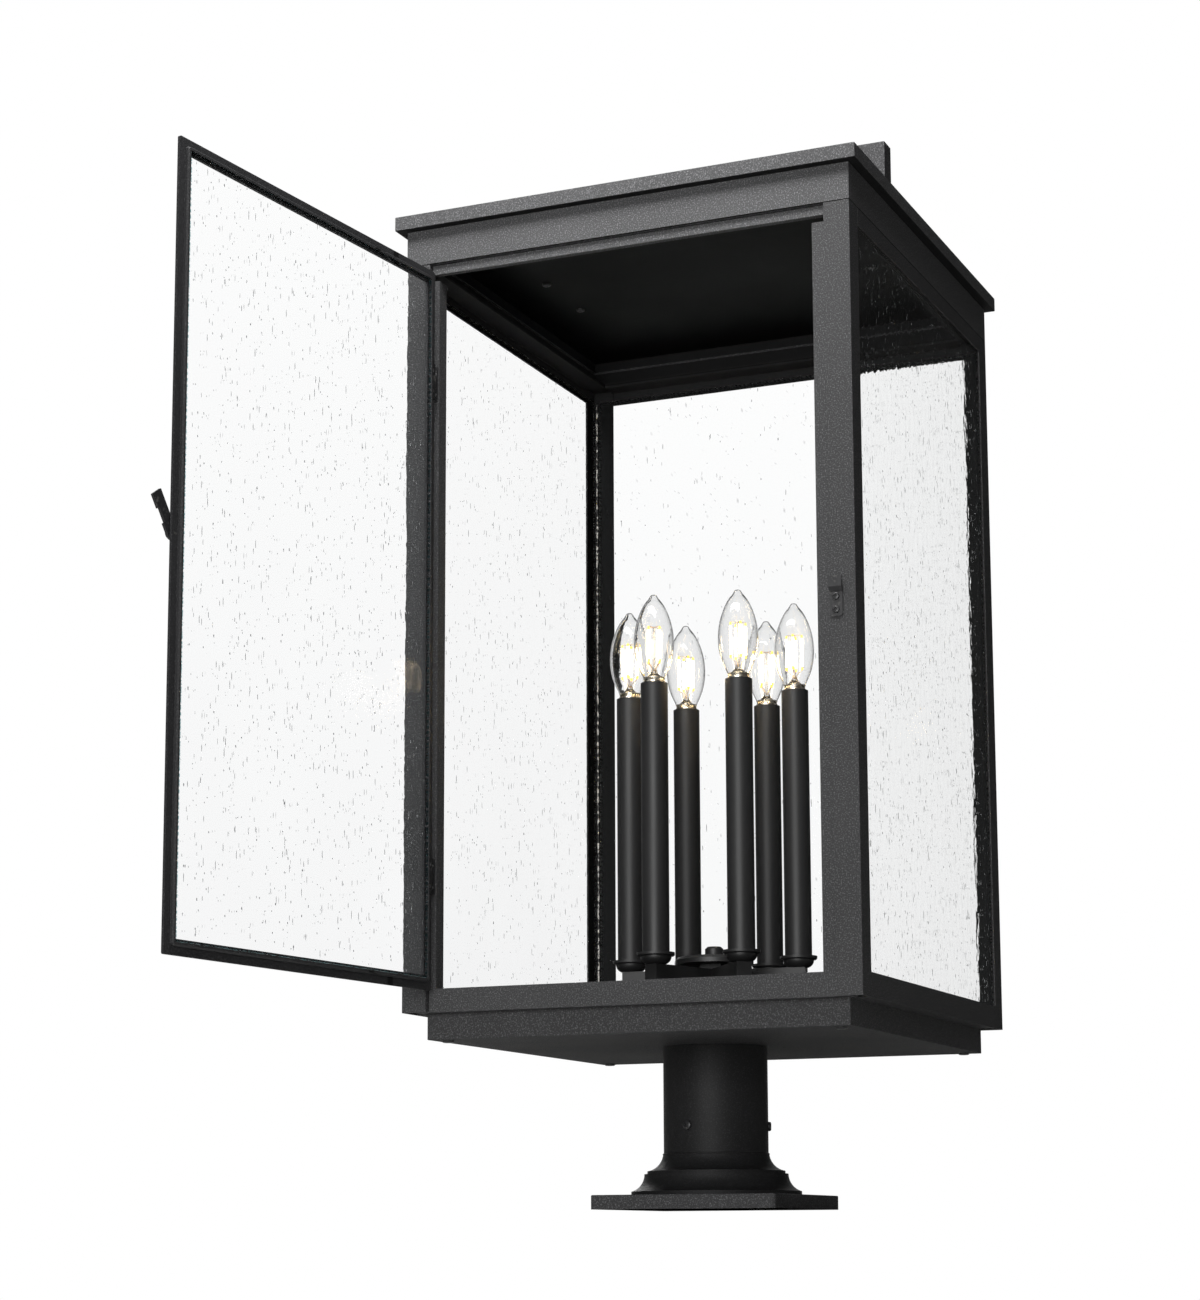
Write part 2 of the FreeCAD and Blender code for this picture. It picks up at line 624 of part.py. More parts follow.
# Ceiling screws: pan heads under the ceiling plate, their ends against the roof sheet
ceiling_bottom = roof_bottom - s.sheet_wall
ceiling_screws = []
for side in (1, -1):
    for end in (1, -1):
        x, y = (glazing - s.ceiling_screw_inset) * side, s.ceiling_screw_y * end
        ceiling_screws.append(fuse(
            "ceiling_screw",
            rod("ceiling_screw_head", s.ceiling_screw_head, ceiling_bottom - s.ceiling_screw_stand,
                ceiling_bottom, x, y),
            rod("ceiling_screw_shank", s.ceiling_screw_radius, ceiling_bottom,
                roof_top - s.sheet_wall, x, y)))
ceiling_screw_group = node("ceiling_screws", group("ceiling_screw_group", *ceiling_screws))
node("ceiling_plate", cut("ceiling_drilled", box("ceiling_sheet", (-glazing, glazing),
                                                 (-glazing, glazing), (ceiling_bottom, roof_bottom)),
                          ceiling_screw_group))

# Roof cap: square sheet lid with a deep rim and a lip turned in under it
roof = new_body("roof_sheet")
pad(roof, "XY_Plane", square(roof_half), roof_bottom, roof_top)
pocket(roof, "XY_Plane", square(roof_half - s.sheet_wall), roof_bottom + s.sheet_wall,
       roof_top - s.sheet_wall)
pocket(roof, "XY_Plane", square(roof_half - s.roof_lip), roof_bottom, roof_bottom + s.sheet_wall)
dress(roof, "Fillet", s.edge_round, lambda middle, way: (
    near(abs(middle.x), roof_half) or near(abs(middle.y), roof_half)))
node("roof_cap", roof)

# Roof handle: square tube arch standing across the roof
span = roof_half - s.handle_inset
deep = s.handle_depth / 2


def arch(inset):
    return [(-(span - inset), roof_top), (-(span - s.handle_width + inset), roof_top),
            (-(span - s.handle_width + inset), handle_top - s.handle_width + inset),
            (span - s.handle_width + inset, handle_top - s.handle_width + inset),
            (span - s.handle_width + inset, roof_top), (span - inset, roof_top),
            (span - inset, handle_top - inset), (-(span - inset), handle_top - inset)]


handle = new_body("handle_tube")
pad(handle, "XZ_Plane", arch(ZERO), -deep, deep)
dress(handle, "Fillet", s.edge_round, lambda middle, way: (
    near(abs(middle.x), span) or near(middle.z, handle_top)))
hollow = new_body("handle_hollow")
pad(hollow, "XZ_Plane", arch(s.handle_wall), -deep + s.handle_wall, deep - s.handle_wall)
node("roof_handle", cut("handle_arch", handle, hollow))

# Fixed glass: left, right and back panes behind the posts, on the ledges of the bottom rails
pane_edge = glazing - s.glass_thick - s.glass_corner_gap
pane_in = glazing - s.glass_thick
pane_height = (ledge_top, header_bottom - s.glass_drop)
node("glass_left", box("left_pane", (-glazing, -pane_in), (-pane_edge, pane_edge), pane_height))
node("glass_right", box("right_pane", (pane_in, glazing), (-pane_edge, pane_edge), pane_height))
node("glass_back", box("back_pane", (-pane_edge, pane_edge), (pane_in, glazing), pane_height))

# Keeper: joggled strap on the right front post, its lip standing off to catch the lever
foot_top = keeper_bottom + s.keeper_foot
lip_bottom = foot_top + s.keeper_joggle
lip_top = lip_bottom + s.keeper_lip
keeper_stand = s.lever_gap + s.lever_thick + s.keeper_lip_play
lip_inner = front - keeper_stand
keeper = new_body("keeper_strap")
pad(keeper, "YZ_Plane", [
    (front, keeper_bottom), (keeper_face, keeper_bottom), (keeper_face, foot_top),
    (lip_inner - s.keeper_thick, lip_bottom), (lip_inner - s.keeper_thick, lip_top),
    (lip_inner, lip_top), (lip_inner, lip_bottom), (front, foot_top)],
    keeper_left, keeper_left + s.keeper_width)
dress(keeper, "Fillet", s.keeper_corner,
      lambda middle, way: abs(way.y) > 0.9 and near(middle.z, keeper_bottom))
node("keeper", cut("keeper_drilled", keeper, keeper_screw_group))

# Hinge leaves: a plate, a web through the gap beside the door, and knuckles round the pin
frame_leaves = []
door_leaves = []
pins = []
for middle in hinge_levels:
    low, high = middle - s.leaf_height / 2, middle + s.leaf_height / 2
    knuckles = []
    for start, end in ((low, low + knuckle_third), (high - knuckle_third, high)):
        knuckles.append(rod("frame_knuckle", s.knuckle_radius, start, end, pin_x, pin_y))
        knuckles.append(box("frame_web", (-opening, -opening + s.leaf_thick), (pin_y, stile_face),
                            (start, end)))
    plate = box("frame_leaf_plate", (-opening, -opening + s.leaf_width),
                (frame_leaf_face, stile_face), (low, high))
    frame_leaves.append(cut("frame_leaf", fuse("frame_leaf_blank", plate, *knuckles),
                            rod("frame_pin_hole", s.pin_radius, low, high, pin_x, pin_y)))
    start = low + knuckle_third + s.knuckle_gap
    end = high - knuckle_third - s.knuckle_gap
    blank = fuse(
        "door_leaf_blank",
        rod("door_knuckle", s.knuckle_radius, start, end, pin_x, pin_y),
        box("door_web", (pin_x - s.leaf_thick, pin_x), (pin_y, door_leaf_face), (start, end)),
        box("door_leaf_plate", (pin_x, pin_x + s.leaf_width), (door_inner, door_leaf_face),
            (low, high)))
    door_leaves.append(cut("door_leaf", blank, rod("door_pin_hole", s.pin_radius + s.pin_play,
                                                   low, high, pin_x, pin_y)))
    pins.append(fuse("hinge_pin", rod("pin_shaft", s.pin_radius, low, high, pin_x, pin_y),
                     rod("pin_foot", s.pin_head, low - s.pin_head_height, low, pin_x, pin_y),
                     rod("pin_top", s.pin_head, high, high + s.pin_head_height, pin_x, pin_y)))
node("hinge_frame_leaves", cut("frame_leaves_drilled", group("frame_leaf_pair", *frame_leaves),
                               frame_screws))
node("hinge_pins", group("hinge_pin_pair", *pins))

# Everything on the door is drawn with the door shut, then turned about the hinge pins.
door_turn = "rotation(vector(0; 0; 1); %s)" % (-s.door_open_degrees).formula
DOOR_OPEN = "%s * %s" % (place(pin_x, pin_y, 0, door_turn), place(-pin_x, -pin_y, 0))


def on_door(name, piece):
    piece.setExpression("Placement", DOOR_OPEN)
    return node(name, piece)


# Door frame: flat flange round the glass, with a raised stop behind it
door_left = pin_x
door_right = opening - s.strike_gap
door_bottom = rail_top - s.door_lap
door_top = header_bottom - s.door_head_gap


def door_ring(inset):
    return rectangle(door_left + inset, door_right - inset, door_bottom + inset, door_top - inset)


stop_in = door_stop_inset + s.door_stop_width
stop_top = door_inner + s.door_stop_height
frame = new_body("door_frame_profile")
pad(frame, "XZ_Plane", door_ring(ZERO), front, door_inner)
dress(frame, "Fillet", s.door_corner, lambda middle, way: abs(way.y) > 0.9)
dress(frame, "Fillet", s.door_edge_round, lambda middle, way: near(middle.y, front))
pad(frame, "XZ_Plane", door_ring(door_stop_inset), door_inner, stop_top)
dress(frame, "Fillet", s.door_stop_corner, lambda middle, way: (
    abs(way.y) > 0.9 and middle.y > door_inner.number))
dress(frame, "Chamfer", s.door_stop_bevel, lambda middle, way: near(middle.y, stop_top))
pocket(frame, "XZ_Plane", door_ring(stop_in), door_inner, stop_top)
pocket(frame, "XZ_Plane", door_ring(s.door_flange_width), front, door_inner)
pivot_x = door_right - s.lever_inset
pivot_z = lip_bottom - s.lever_seat + s.lever_half_width
pivot_hole = rod("pivot_hole", s.pivot_radius, front, door_inner, x=pivot_x, z=pivot_z, along="y")
on_door("door_frame", cut("door_frame_drilled", frame, door_screws, pivot_hole))

# Door glass: pane inside the stop, against the flange
glass_in = stop_in + s.door_glass_gap
door_pane = box("door_pane", (door_left + glass_in, door_right - glass_in),
                (door_inner, door_inner + s.glass_thick),
                (door_bottom + glass_in, door_top - glass_in))
on_door("door_glass", group("door_pane_set", door_pane))

on_door("hinge_door_leaves", cut("door_leaves_drilled", group("door_leaf_pair", *door_leaves),
                                 door_screws))
on_door("door_leaf_screws", group("door_leaf_screw_set", door_screws))

# Latch pivot: shouldered rivet through the door's flange, carrying the lever
lever_back = front - s.lever_gap
lever_front = lever_back - s.lever_thick
pivot_head_face = lever_front - s.pivot_end_gap
on_door("latch_pivot", fuse(
    "latch_rivet",
    rod("pivot_shank", s.pivot_radius, pivot_head_face, door_inner, x=pivot_x, z=pivot_z, along="y"),
    rod("pivot_shoulder", s.pivot_washer, lever_back + s.pivot_end_gap, front,
        x=pivot_x, z=pivot_z, along="y"),
    rod("pivot_outer_head", s.pivot_head, pivot_head_face - s.pivot_head_height, pivot_head_face,
        x=pivot_x, z=pivot_z, along="y")))

# Latch lever: flat bar with a rounded pivot end and a notch that drops over the keeper
notch_start = keeper_left - s.notch_play / 2
notch_end = keeper_left + s.keeper_width + s.notch_play / 2
lever_low = pivot_z - s.lever_half_width
lever_high = pivot_z + s.lever_half_width
quarter_round_share = sized((math.sqrt(2) - 1) / 2)
lever = new_body("lever_bar")
pad(lever, "XZ_Plane", [
    (pivot_x, lever_low), (notch_start, lever_low), (notch_start, lever_low + s.notch_depth),
    (notch_end, lever_low + s.notch_depth), (notch_end, lever_low),
    (pivot_x + s.lever_reach, lever_low), (pivot_x + s.lever_reach, lever_high),
    (pivot_x, lever_high, quarter_round_share),
    (pivot_x - s.lever_half_width, pivot_z, quarter_round_share)], lever_front, lever_back)
lever_drilled = cut("lever_drilled", lever, rod(
    "lever_hole", s.pivot_radius + s.pivot_play, lever_front, lever_back,
    x=pivot_x, z=pivot_z, along="y"))
raise_turn = "rotation(vector(0; 0 - 1; 0); %s)" % s.lever_degrees.formula
lever_drilled.setExpression("Placement", "%s * %s * %s" % (
    DOOR_OPEN, place(pivot_x, 0, pivot_z, raise_turn), place(-pivot_x, 0, -pivot_z)))
node("latch_lever", lever_drilled)

# Centre nipple: threaded tube that clamps sleeve, tray, floor and cluster, with its nuts
arm_bottom = body_bottom + s.arm_rise
arm_top = arm_bottom + s.arm_side
hub_bottom = arm_top + s.hub_block_height
hub_top = hub_bottom + s.hub_height
nipple_bottom = web_bottom - s.nipple_tail
nipple_top = hub_top + s.finial_bore_depth
node("centre_nipple", cut("nipple_tube", rod("nipple_bar", s.nipple_radius, nipple_bottom, nipple_top),
                          rod("nipple_hollow", s.nipple_bore, nipple_bottom, nipple_top)))
nuts = []
for seat in (web_bottom - s.nut_height, tray_bottom + s.sheet_wall, floor_top,
             arm_bottom - s.nut_height):
    hexagon = DOC.addObject("Part::Prism", "nut_hexagon")
    hexagon.Polygon = 6
    hexagon.setExpression("Circumradius", s.nut_radius.formula)
    hexagon.setExpression("Height", s.nut_height.formula)
    hexagon.setExpression("Placement", place(0, 0, seat))
    nuts.append(cut("nut", hexagon, rod("nut_hole", s.nipple_radius, seat, seat + s.nut_height)))
node("nipple_nuts", group("nut_group", *nuts))

# Arm spider: six square arms from the middle, with the block under the hub disc
CANDLES = 6
candle_turns = [s.candle_degrees + FULL_TURN / CANDLES * index for index in range(CANDLES)]
arms = []
for turn in candle_turns:
    arm = group("arm", box("arm_bar", (ZERO, s.candle_ring + s.arm_side / 2),
                           (-s.arm_side / 2, s.arm_side / 2), (arm_bottom, arm_top)))
    arm.setExpression("Placement", place(0, 0, 0, "rotation(vector(0; 0; 1); %s)" % turn.formula))
    arms.append(arm)
block_half = s.hub_block_side / 2
block = box("hub_block", (-block_half, block_half), (-block_half, block_half), (arm_top, hub_bottom))
node("arm_spider", cut("spider_drilled", fuse("spider_blank", block, *arms),
                       centre_hole("spider_hole", arm_bottom, hub_bottom)))

# Hub disc and finial knob over the arms
nipple_way = s.nipple_radius + s.nipple_play
node("hub_disc", turned("hub_turning", [
    (nipple_way, hub_bottom), (s.hub_radius, hub_bottom), (s.hub_radius, hub_top - s.hub_round),
    (s.hub_radius - s.hub_round, hub_top), (nipple_way, hub_top)]))
finial_top = hub_top + s.finial_height
bore_top = hub_top + s.finial_bore_depth
node("finial_knob", turned("finial_turning", [
    (s.nipple_radius, hub_top), (s.finial_radius, hub_top),
    (s.finial_radius, finial_top - s.finial_round), (s.finial_radius - s.finial_round, finial_top),
    (0, finial_top), (0, bore_top), (s.nipple_radius, bore_top)]))

# Candles: cup, bobeche, sleeve, and the socket on its stem inside
cup_top = arm_top + s.cup_height
pan_top = cup_top + s.bobeche_height
candle_top = pan_top + s.candle_height
socket_bottom = candle_top - s.socket_height
stem_way = s.stem_radius + s.stem_play
socket_radius = s.sleeve_tube_radius - s.sleeve_tube_wall - s.socket_gap
shell_bottom = candle_top - s.base_shell_height
shell_way = s.base_shell_radius + s.base_play
bulb_bottom = candle_top + s.collar_height
bulb_top = bulb_bottom + s.bulb_height

# Torpedo bulb's outline, from the neck up: shares of its height and of its radius
BULB_SHARES = ((0.0, 0.545), (0.16, 0.83), (0.41, 1.0), (0.61, 0.92), (0.76, 0.73), (0.90, 0.42),
               (0.972, 0.2))


def bulb_shell(level):
    """Blown glass shell: its outline is one smooth curve, which no arc fits."""
    base = level.number
    height, radius, wall = s.bulb_height.number, s.bulb_radius.number, s.bulb_wall.number

    def curve(inset):
        spots = [FreeCAD.Vector(radius * wide - inset, 0, base + (height - inset) * high)
                 for high, wide in BULB_SHARES]
        spots.append(FreeCAD.Vector(0, 0, base + height - inset))
        line = Part.BSplineCurve()
        line.interpolate(Points=spots, InitialTangent=spots[1].sub(spots[0]),
                         FinalTangent=FreeCAD.Vector(-radius, 0, 0))
        return line.toShape()

    outer, inner = curve(0), curve(wall)
    edges = [outer, inner]
    for end in (0, -1):
        edges.append(Part.LineSegment(outer.Vertexes[end].Point, inner.Vertexes[end].Point).toShape())
    face = Part.Face(Part.Wire(Part.__sortEdges__(edges)))
    shell = face.revolve(FreeCAD.Vector(0, 0, 0), FreeCAD.Vector(0, 0, 1), FULL_TURN.number)
    return Part.makeSolid(shell.Shells[0]) if not shell.Solids else shell.Solids[0]


FILAMENTS = 4
neck_share = BULB_SHARES[0][1]
stem_foot = s.bulb_radius * neck_share - s.bulb_wall - s.bulb_stem_gap
cups, pans, sockets, bases, stems, bulbs, filaments = [], [], [], [], [], [], []
for number, turn in enumerate(candle_turns, 1):
    x = s.candle_ring * cosine(turn)
    y = s.candle_ring * sine(turn)
    cups.append(turned("cup", [
        (stem_way, arm_top), (s.cup_foot_radius, arm_top, s.cup_share), (s.cup_radius, cup_top),
        (stem_way, cup_top)], x, y))
    pans.append(turned("bobeche", [
        (stem_way, cup_top), (s.bobeche_radius - s.bobeche_round, cup_top),
        (s.bobeche_radius, cup_top + s.bobeche_round), (s.bobeche_radius, pan_top),
        (s.bobeche_radius - s.bobeche_round, pan_top), (stem_way, pan_top)], x, y))
    node("candle_sleeve_%d" % number, turned("candle_tube", [
        (s.sleeve_tube_radius - s.sleeve_tube_wall, pan_top), (s.sleeve_tube_radius, pan_top),
        (s.sleeve_tube_radius, candle_top),
        (s.sleeve_tube_radius - s.sleeve_tube_wall, candle_top)], x, y))
    sockets.append(turned("socket", [
        (0, arm_top), (s.stem_radius, arm_top), (s.stem_radius, socket_bottom),
        (socket_radius, socket_bottom), (socket_radius, candle_top), (shell_way, candle_top),
        (shell_way, shell_bottom), (0, shell_bottom)], x, y))
    bases.append(turned("bulb_base", [
        (0, shell_bottom), (s.base_shell_radius, shell_bottom), (s.base_shell_radius, candle_top),
        (s.collar_radius, candle_top), (s.collar_radius, bulb_bottom), (0, bulb_bottom)], x, y))
    # Glass stem with two wire crosses, and four filaments upright between them
    wire_low = bulb_bottom + s.wire_rise
    wire_high = bulb_bottom + s.bulb_stem_height
    wire_reach = s.filament_ring + s.filament_radius
    stem_pieces = [turned("bulb_stem_turning", [
        (0, bulb_bottom), (stem_foot, bulb_bottom),
        (s.bulb_stem_radius, bulb_bottom + s.wire_rise / 2), (s.bulb_stem_slim, wire_low),
        (s.bulb_stem_slim, wire_high), (0, wire_high)])]
    for level in (wire_low, wire_high - s.wire_thick):
        across = (-s.wire_thick / 2, s.wire_thick / 2)
        along = (-wire_reach, wire_reach)
        stem_pieces.append(box("stem_wire", along, across, (level, level + s.wire_thick)))
        stem_pieces.append(box("stem_wire", across, along, (level, level + s.wire_thick)))
    stem = fuse("bulb_stem", *stem_pieces)
    stem.setExpression("Placement", place(
        x, y, 0, "rotation(vector(0; 0; 1); %s)" % turn.formula))
    stems.append(stem)
    envelope = DOC.addObject("Part::Feature", "bulb_envelope")
    envelope.Shape = bulb_shell(bulb_bottom)
    envelope.setExpression("Placement", place(x, y, 0))
    bulbs.append(envelope)
    for quarter in range(FILAMENTS):
        spot = turn + FULL_TURN / FILAMENTS * quarter
        filaments.append(rod("filament", s.filament_radius, wire_low + s.wire_thick,
                             wire_high - s.wire_thick, x + s.filament_ring * cosine(spot),
                             y + s.filament_ring * sine(spot)))
node("candle_cups", group("cup_group", *cups))
node("bobeches", group("bobeche_group", *pans))
node("lamp_sockets", group("socket_group", *sockets))
node("bulb_bases", group("base_group", *bases))
node("bulb_stems", group("stem_group", *stems))
node("bulb_glass", group("bulb_group", *bulbs))
node("led_filaments", group("filament_group", *filaments))

# Check every object, then write one file for each piece.
DOC.recompute()
for thing in DOC.Objects:
    if "Invalid" in thing.State or "Error" in thing.State:
        raise RuntimeError("%s (%s) failed: %s" % (thing.Name, thing.Label, thing.State))
for thing in NODES:
    if thing.Shape.isNull() or not thing.Shape.isValid() or not thing.Shape.Solids:
        raise RuntimeError(thing.Label + " has no valid solid")
os.makedirs("parts", exist_ok=True)
for thing in NODES:
    thing.Shape.exportStep(os.path.join("parts", thing.Label + ".step"))
print(len(NODES), "pieces written")
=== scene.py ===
import math
import random

import bmesh
import bpy
from mathutils import Matrix, Vector


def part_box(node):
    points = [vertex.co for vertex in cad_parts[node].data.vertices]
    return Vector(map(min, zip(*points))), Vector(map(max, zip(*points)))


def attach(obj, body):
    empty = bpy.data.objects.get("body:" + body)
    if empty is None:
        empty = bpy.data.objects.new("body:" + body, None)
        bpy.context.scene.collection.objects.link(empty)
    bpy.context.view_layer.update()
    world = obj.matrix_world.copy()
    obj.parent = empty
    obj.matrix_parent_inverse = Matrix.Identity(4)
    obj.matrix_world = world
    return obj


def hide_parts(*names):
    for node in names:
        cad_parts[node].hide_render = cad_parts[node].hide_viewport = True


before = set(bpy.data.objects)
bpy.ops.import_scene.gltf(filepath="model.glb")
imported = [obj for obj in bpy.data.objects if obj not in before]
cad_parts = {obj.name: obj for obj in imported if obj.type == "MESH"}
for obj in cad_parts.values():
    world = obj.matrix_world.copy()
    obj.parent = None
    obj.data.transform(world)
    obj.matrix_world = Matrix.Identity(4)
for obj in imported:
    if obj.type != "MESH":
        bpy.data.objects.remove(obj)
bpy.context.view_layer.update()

# ---------------------------------------------------------------------------------------------
# Body frame: corner angles, rails, the bars round the door opening, header, roof cap, handle arch,
# tray and floor. Folded and extruded metal, welded and sprayed with a fine textured black powder
# that glitters a little in the light.
# ---------------------------------------------------------------------------------------------


def new_group(name, inputs, outputs):
    """An empty shader node group: float inputs, each with its start value, and float outputs."""
    group = bpy.data.node_groups.new(name, "ShaderNodeTree")
    for label, value in inputs:
        socket = group.interface.new_socket(label, in_out="INPUT", socket_type="NodeSocketFloat")
        socket.default_value = value
    for label in outputs:
        group.interface.new_socket(label, in_out="OUTPUT", socket_type="NodeSocketFloat")
    entry = group.nodes.new("NodeGroupInput")
    leave = group.nodes.new("NodeGroupOutput")
    return group, entry, leave


def add(tree, kind, **settings):
    """A node of that kind, with its own settings."""
    made = tree.nodes.new(kind)
    for label, value in settings.items():
        setattr(made, label, value)
    return made


def maths(tree, operation, *values):
    """A sum on numbers or links; gives the socket with its result."""
    made = add(tree, "ShaderNodeMath", operation=operation)
    for socket, value in zip(made.inputs, values):
        if isinstance(value, (int, float)):
            socket.default_value = value
        else:
            tree.links.new(value, socket)
    return made.outputs["Value"]


def noise(tree, where, scale, detail):
    """Cloudy noise at a place, between 0 and 1; the scale is a number or a link."""
    made = add(tree, "ShaderNodeTexNoise")
    made.inputs["Detail"].default_value = detail
    tree.links.new(where, made.inputs["Vector"])
    if isinstance(scale, (int, float)):
        made.inputs["Scale"].default_value = scale
    else:
        tree.links.new(scale, made.inputs["Scale"])
    return made.outputs["Fac"]


def ramp_between(tree, value, low, high, out_low=0.0, out_high=1.0):
    """Runs from out_low to out_high while the value runs from low to high."""
    made = add(tree, "ShaderNodeMapRange")
    for label, number in (("From Min", low), ("From Max", high),
                          ("To Min", out_low), ("To Max", out_high)):
        made.inputs[label].default_value = number
    tree.links.new(value, made.inputs["Value"])
    return made.outputs["Result"]


def blend_colours(tree, share, first, second):
    """The first colour where the share is 0, the second where it is 1."""
    made = add(tree, "ShaderNodeMix", data_type="RGBA")
    tree.links.new(share, made.inputs[0])
    for socket, colour in ((made.inputs[6], first), (made.inputs[7], second)):
        if isinstance(colour, tuple):
            socket.default_value = colour + (1.0,)
        else:
            tree.links.new(colour, socket)
    return made.outputs[2]


def start_material(name):
    """A new material with its node tree and its Principled shader."""
    material = bpy.data.materials.new(name)
    material.use_nodes = True
    return material, material.node_tree, material.node_tree.nodes["Principled BSDF"]


def raise_grain(tree, shader, height, strength, depth):
    """Lets a height stand out of the surface as bump; depth is in metres."""
    bump = add(tree, "ShaderNodeBump")
    bump.inputs["Strength"].default_value = strength
    bump.inputs["Distance"].default_value = depth
    tree.links.new(height, bump.inputs["Height"])
    tree.links.new(bump.outputs["Normal"], shader.inputs["Normal"])


def finish_nodes(material, *names):
    """Puts a material on the CAD nodes named."""
    for name in names:
        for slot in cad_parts[name].material_slots:
            slot.material = material


grain_group, entry, leave = new_group(
    "sprayed grain", [("Grain Scale", 900.0), ("Cloud Scale", 7.0)],
    ["Height", "Glitter", "Cloud", "Shaded Faces", "Seam Shade"])
where = add(grain_group, "ShaderNodeTexCoord").outputs["Object"]
fine = noise(grain_group, where, entry.outputs["Grain Scale"], 2.0)
clouds = noise(grain_group, where, entry.outputs["Cloud Scale"], 3.0)
grain_group.links.new(fine, leave.inputs["Height"])
grain_group.links.new(ramp_between(grain_group, fine, 0.52, 0.72), leave.inputs["Glitter"])
grain_group.links.new(ramp_between(grain_group, clouds, 0.3, 0.7), leave.inputs["Cloud"])
# Painted shade: the frame's inner faces and the underside of the roof's lip get a darker colour,
# standing in for the shade that falls there, and where one bar meets the next a near-black line of
# painted shade shows.
skin = 0.0005
sheet = 0.002
joint_half = 0.0004
joint_shade = (0.003, 0.003, 0.003)
lip_depth = 0.0095
lip_edge_half = 0.0006
roof_face_half = 0.0002
post_low, post_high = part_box("post_front_right")
inner_face, joint_side = post_high[0] - sheet / 2, post_low[0] - joint_half
roof_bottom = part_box("roof_cap")[0][2]
ceiling_low, ceiling_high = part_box("ceiling_plate")
split = add(grain_group, "ShaderNodeSeparateXYZ")
grain_group.links.new(where, split.inputs["Vector"])
level = split.outputs["Z"]
aside = maths(grain_group, "ABSOLUTE", split.outputs["X"])
farther_out = maths(grain_group, "MAXIMUM", aside, split.outputs["Y"])
within = maths(grain_group, "MULTIPLY", maths(grain_group, "LESS_THAN", farther_out, inner_face),
               maths(grain_group, "GREATER_THAN", split.outputs["Y"], post_high[1] - sheet))
above_tray = maths(grain_group, "GREATER_THAN", level, post_low[2] + skin)
below_roof = maths(grain_group, "LESS_THAN", level, roof_bottom - skin)
# The lower edge of the ceiling lip is kept out of the painted shade.
lip_edge = maths(grain_group, "COMPARE", level, ceiling_low[2] - lip_depth,
                 lip_edge_half)
shaded_walls = maths(grain_group, "MULTIPLY", within,
              maths(grain_group, "MULTIPLY", above_tray, below_roof))
shaded_walls = maths(grain_group, "MULTIPLY", shaded_walls, maths(grain_group, "SUBTRACT", 1.0, lip_edge))
shaded_roof_underside = maths(grain_group, "COMPARE", level, roof_bottom, roof_face_half)
grain_group.links.new(maths(grain_group, "MAXIMUM", shaded_walls, shaded_roof_underside),
                      leave.inputs["Shaded Faces"])
# Painted shade: a near-black line beside each post's inner edge and just above the posts' tops,
# where the next bar meets them, standing in for the shade in the seam.
upright_joint = maths(grain_group, "MULTIPLY",
                      maths(grain_group, "COMPARE", aside, joint_side, joint_half),
                      maths(grain_group, "LESS_THAN", level, post_high[2] - skin))
level_joint = maths(grain_group, "COMPARE", level, post_high[2] + joint_half, joint_half)
upright_joint = maths(grain_group, "MULTIPLY", upright_joint, above_tray)
grain_group.links.new(maths(grain_group, "MAXIMUM", level_joint, upright_joint),
                      leave.inputs["Seam Shade"])


def sprayed_finish(name, dark, light, rough_low, rough_high, shine, grain_scale, bump, shade_dim=1.0):
    """Dark powder coat with paler grains, rougher in patches, with painted shade: a darker colour
    on the inner faces and under the roof, and near-black seam lines; the last argument sets how
    dark that painted shade is.
    """
    material, tree, shader = start_material(name)
    grain = add(tree, "ShaderNodeGroup", node_tree=grain_group)
    grain.inputs["Grain Scale"].default_value = grain_scale
    worn = blend_colours(tree, grain.outputs["Cloud"], dark, tuple(c * 1.18 for c in dark))
    speckled = blend_colours(tree, grain.outputs["Glitter"], worn, light)
    # Painted shade: on the shaded faces the colour drops to a darker copy of the coat.
    thin = blend_colours(tree, grain.outputs["Shaded Faces"], speckled,
                         tuple(c * shade_dim for c in dark))
    tree.links.new(blend_colours(tree, grain.outputs["Seam Shade"], thin, joint_shade),
                   shader.inputs["Base Color"])
    tree.links.new(ramp_between(tree, grain.outputs["Cloud"], 0.0, 1.0, rough_low, rough_high),
                   shader.inputs["Roughness"])
    shader.inputs["Specular IOR Level"].default_value = shine
    raise_grain(tree, shader, grain.outputs["Height"], strength=bump, depth=0.0006)
    return material


body_coat = sprayed_finish("textured black powder coat", dark=(0.038, 0.038, 0.0388),
                           light=(0.12, 0.12, 0.123), rough_low=0.6, rough_high=0.7, shine=0.07,
                           grain_scale=900.0, bump=0.45, shade_dim=0.42)
finish_nodes(body_coat, "post_front_left", "post_front_right", "post_back_left", "post_back_right",
             "bottom_rail_left", "bottom_rail_right", "bottom_rail_back", "top_rail_left",
             "top_rail_right", "top_rail_back", "sill_rail", "hinge_stile", "strike_stile",
             "tray_pan", "roof_handle")

# Painted light: the upper pieces take a paler copy of the coat, standing in for the brighter light
# they face.
painted_lit_coat = sprayed_finish("paler painted-lit textured black powder coat", dark=(0.051, 0.051, 0.052),
                          light=(0.165, 0.165, 0.17), rough_low=0.6, rough_high=0.7, shine=0.07,
                          grain_scale=900.0, bump=0.45, shade_dim=0.25)
finish_nodes(painted_lit_coat, "head_strip", "header_box", "roof_cap")

# Painted shade: the ceiling and floor plates inside take a much darker copy of the coat, standing
# in for the shade inside the lantern.
shaded_inner_coat = sprayed_finish("black powder coat inside, painted in shade", dark=(0.012, 0.012, 0.012),
                            light=(0.03, 0.03, 0.031), rough_low=0.5, rough_high=0.6, shine=0.1,
                            grain_scale=900.0, bump=0.3, shade_dim=0.2)
finish_nodes(shaded_inner_coat, "ceiling_plate", "floor_plate")

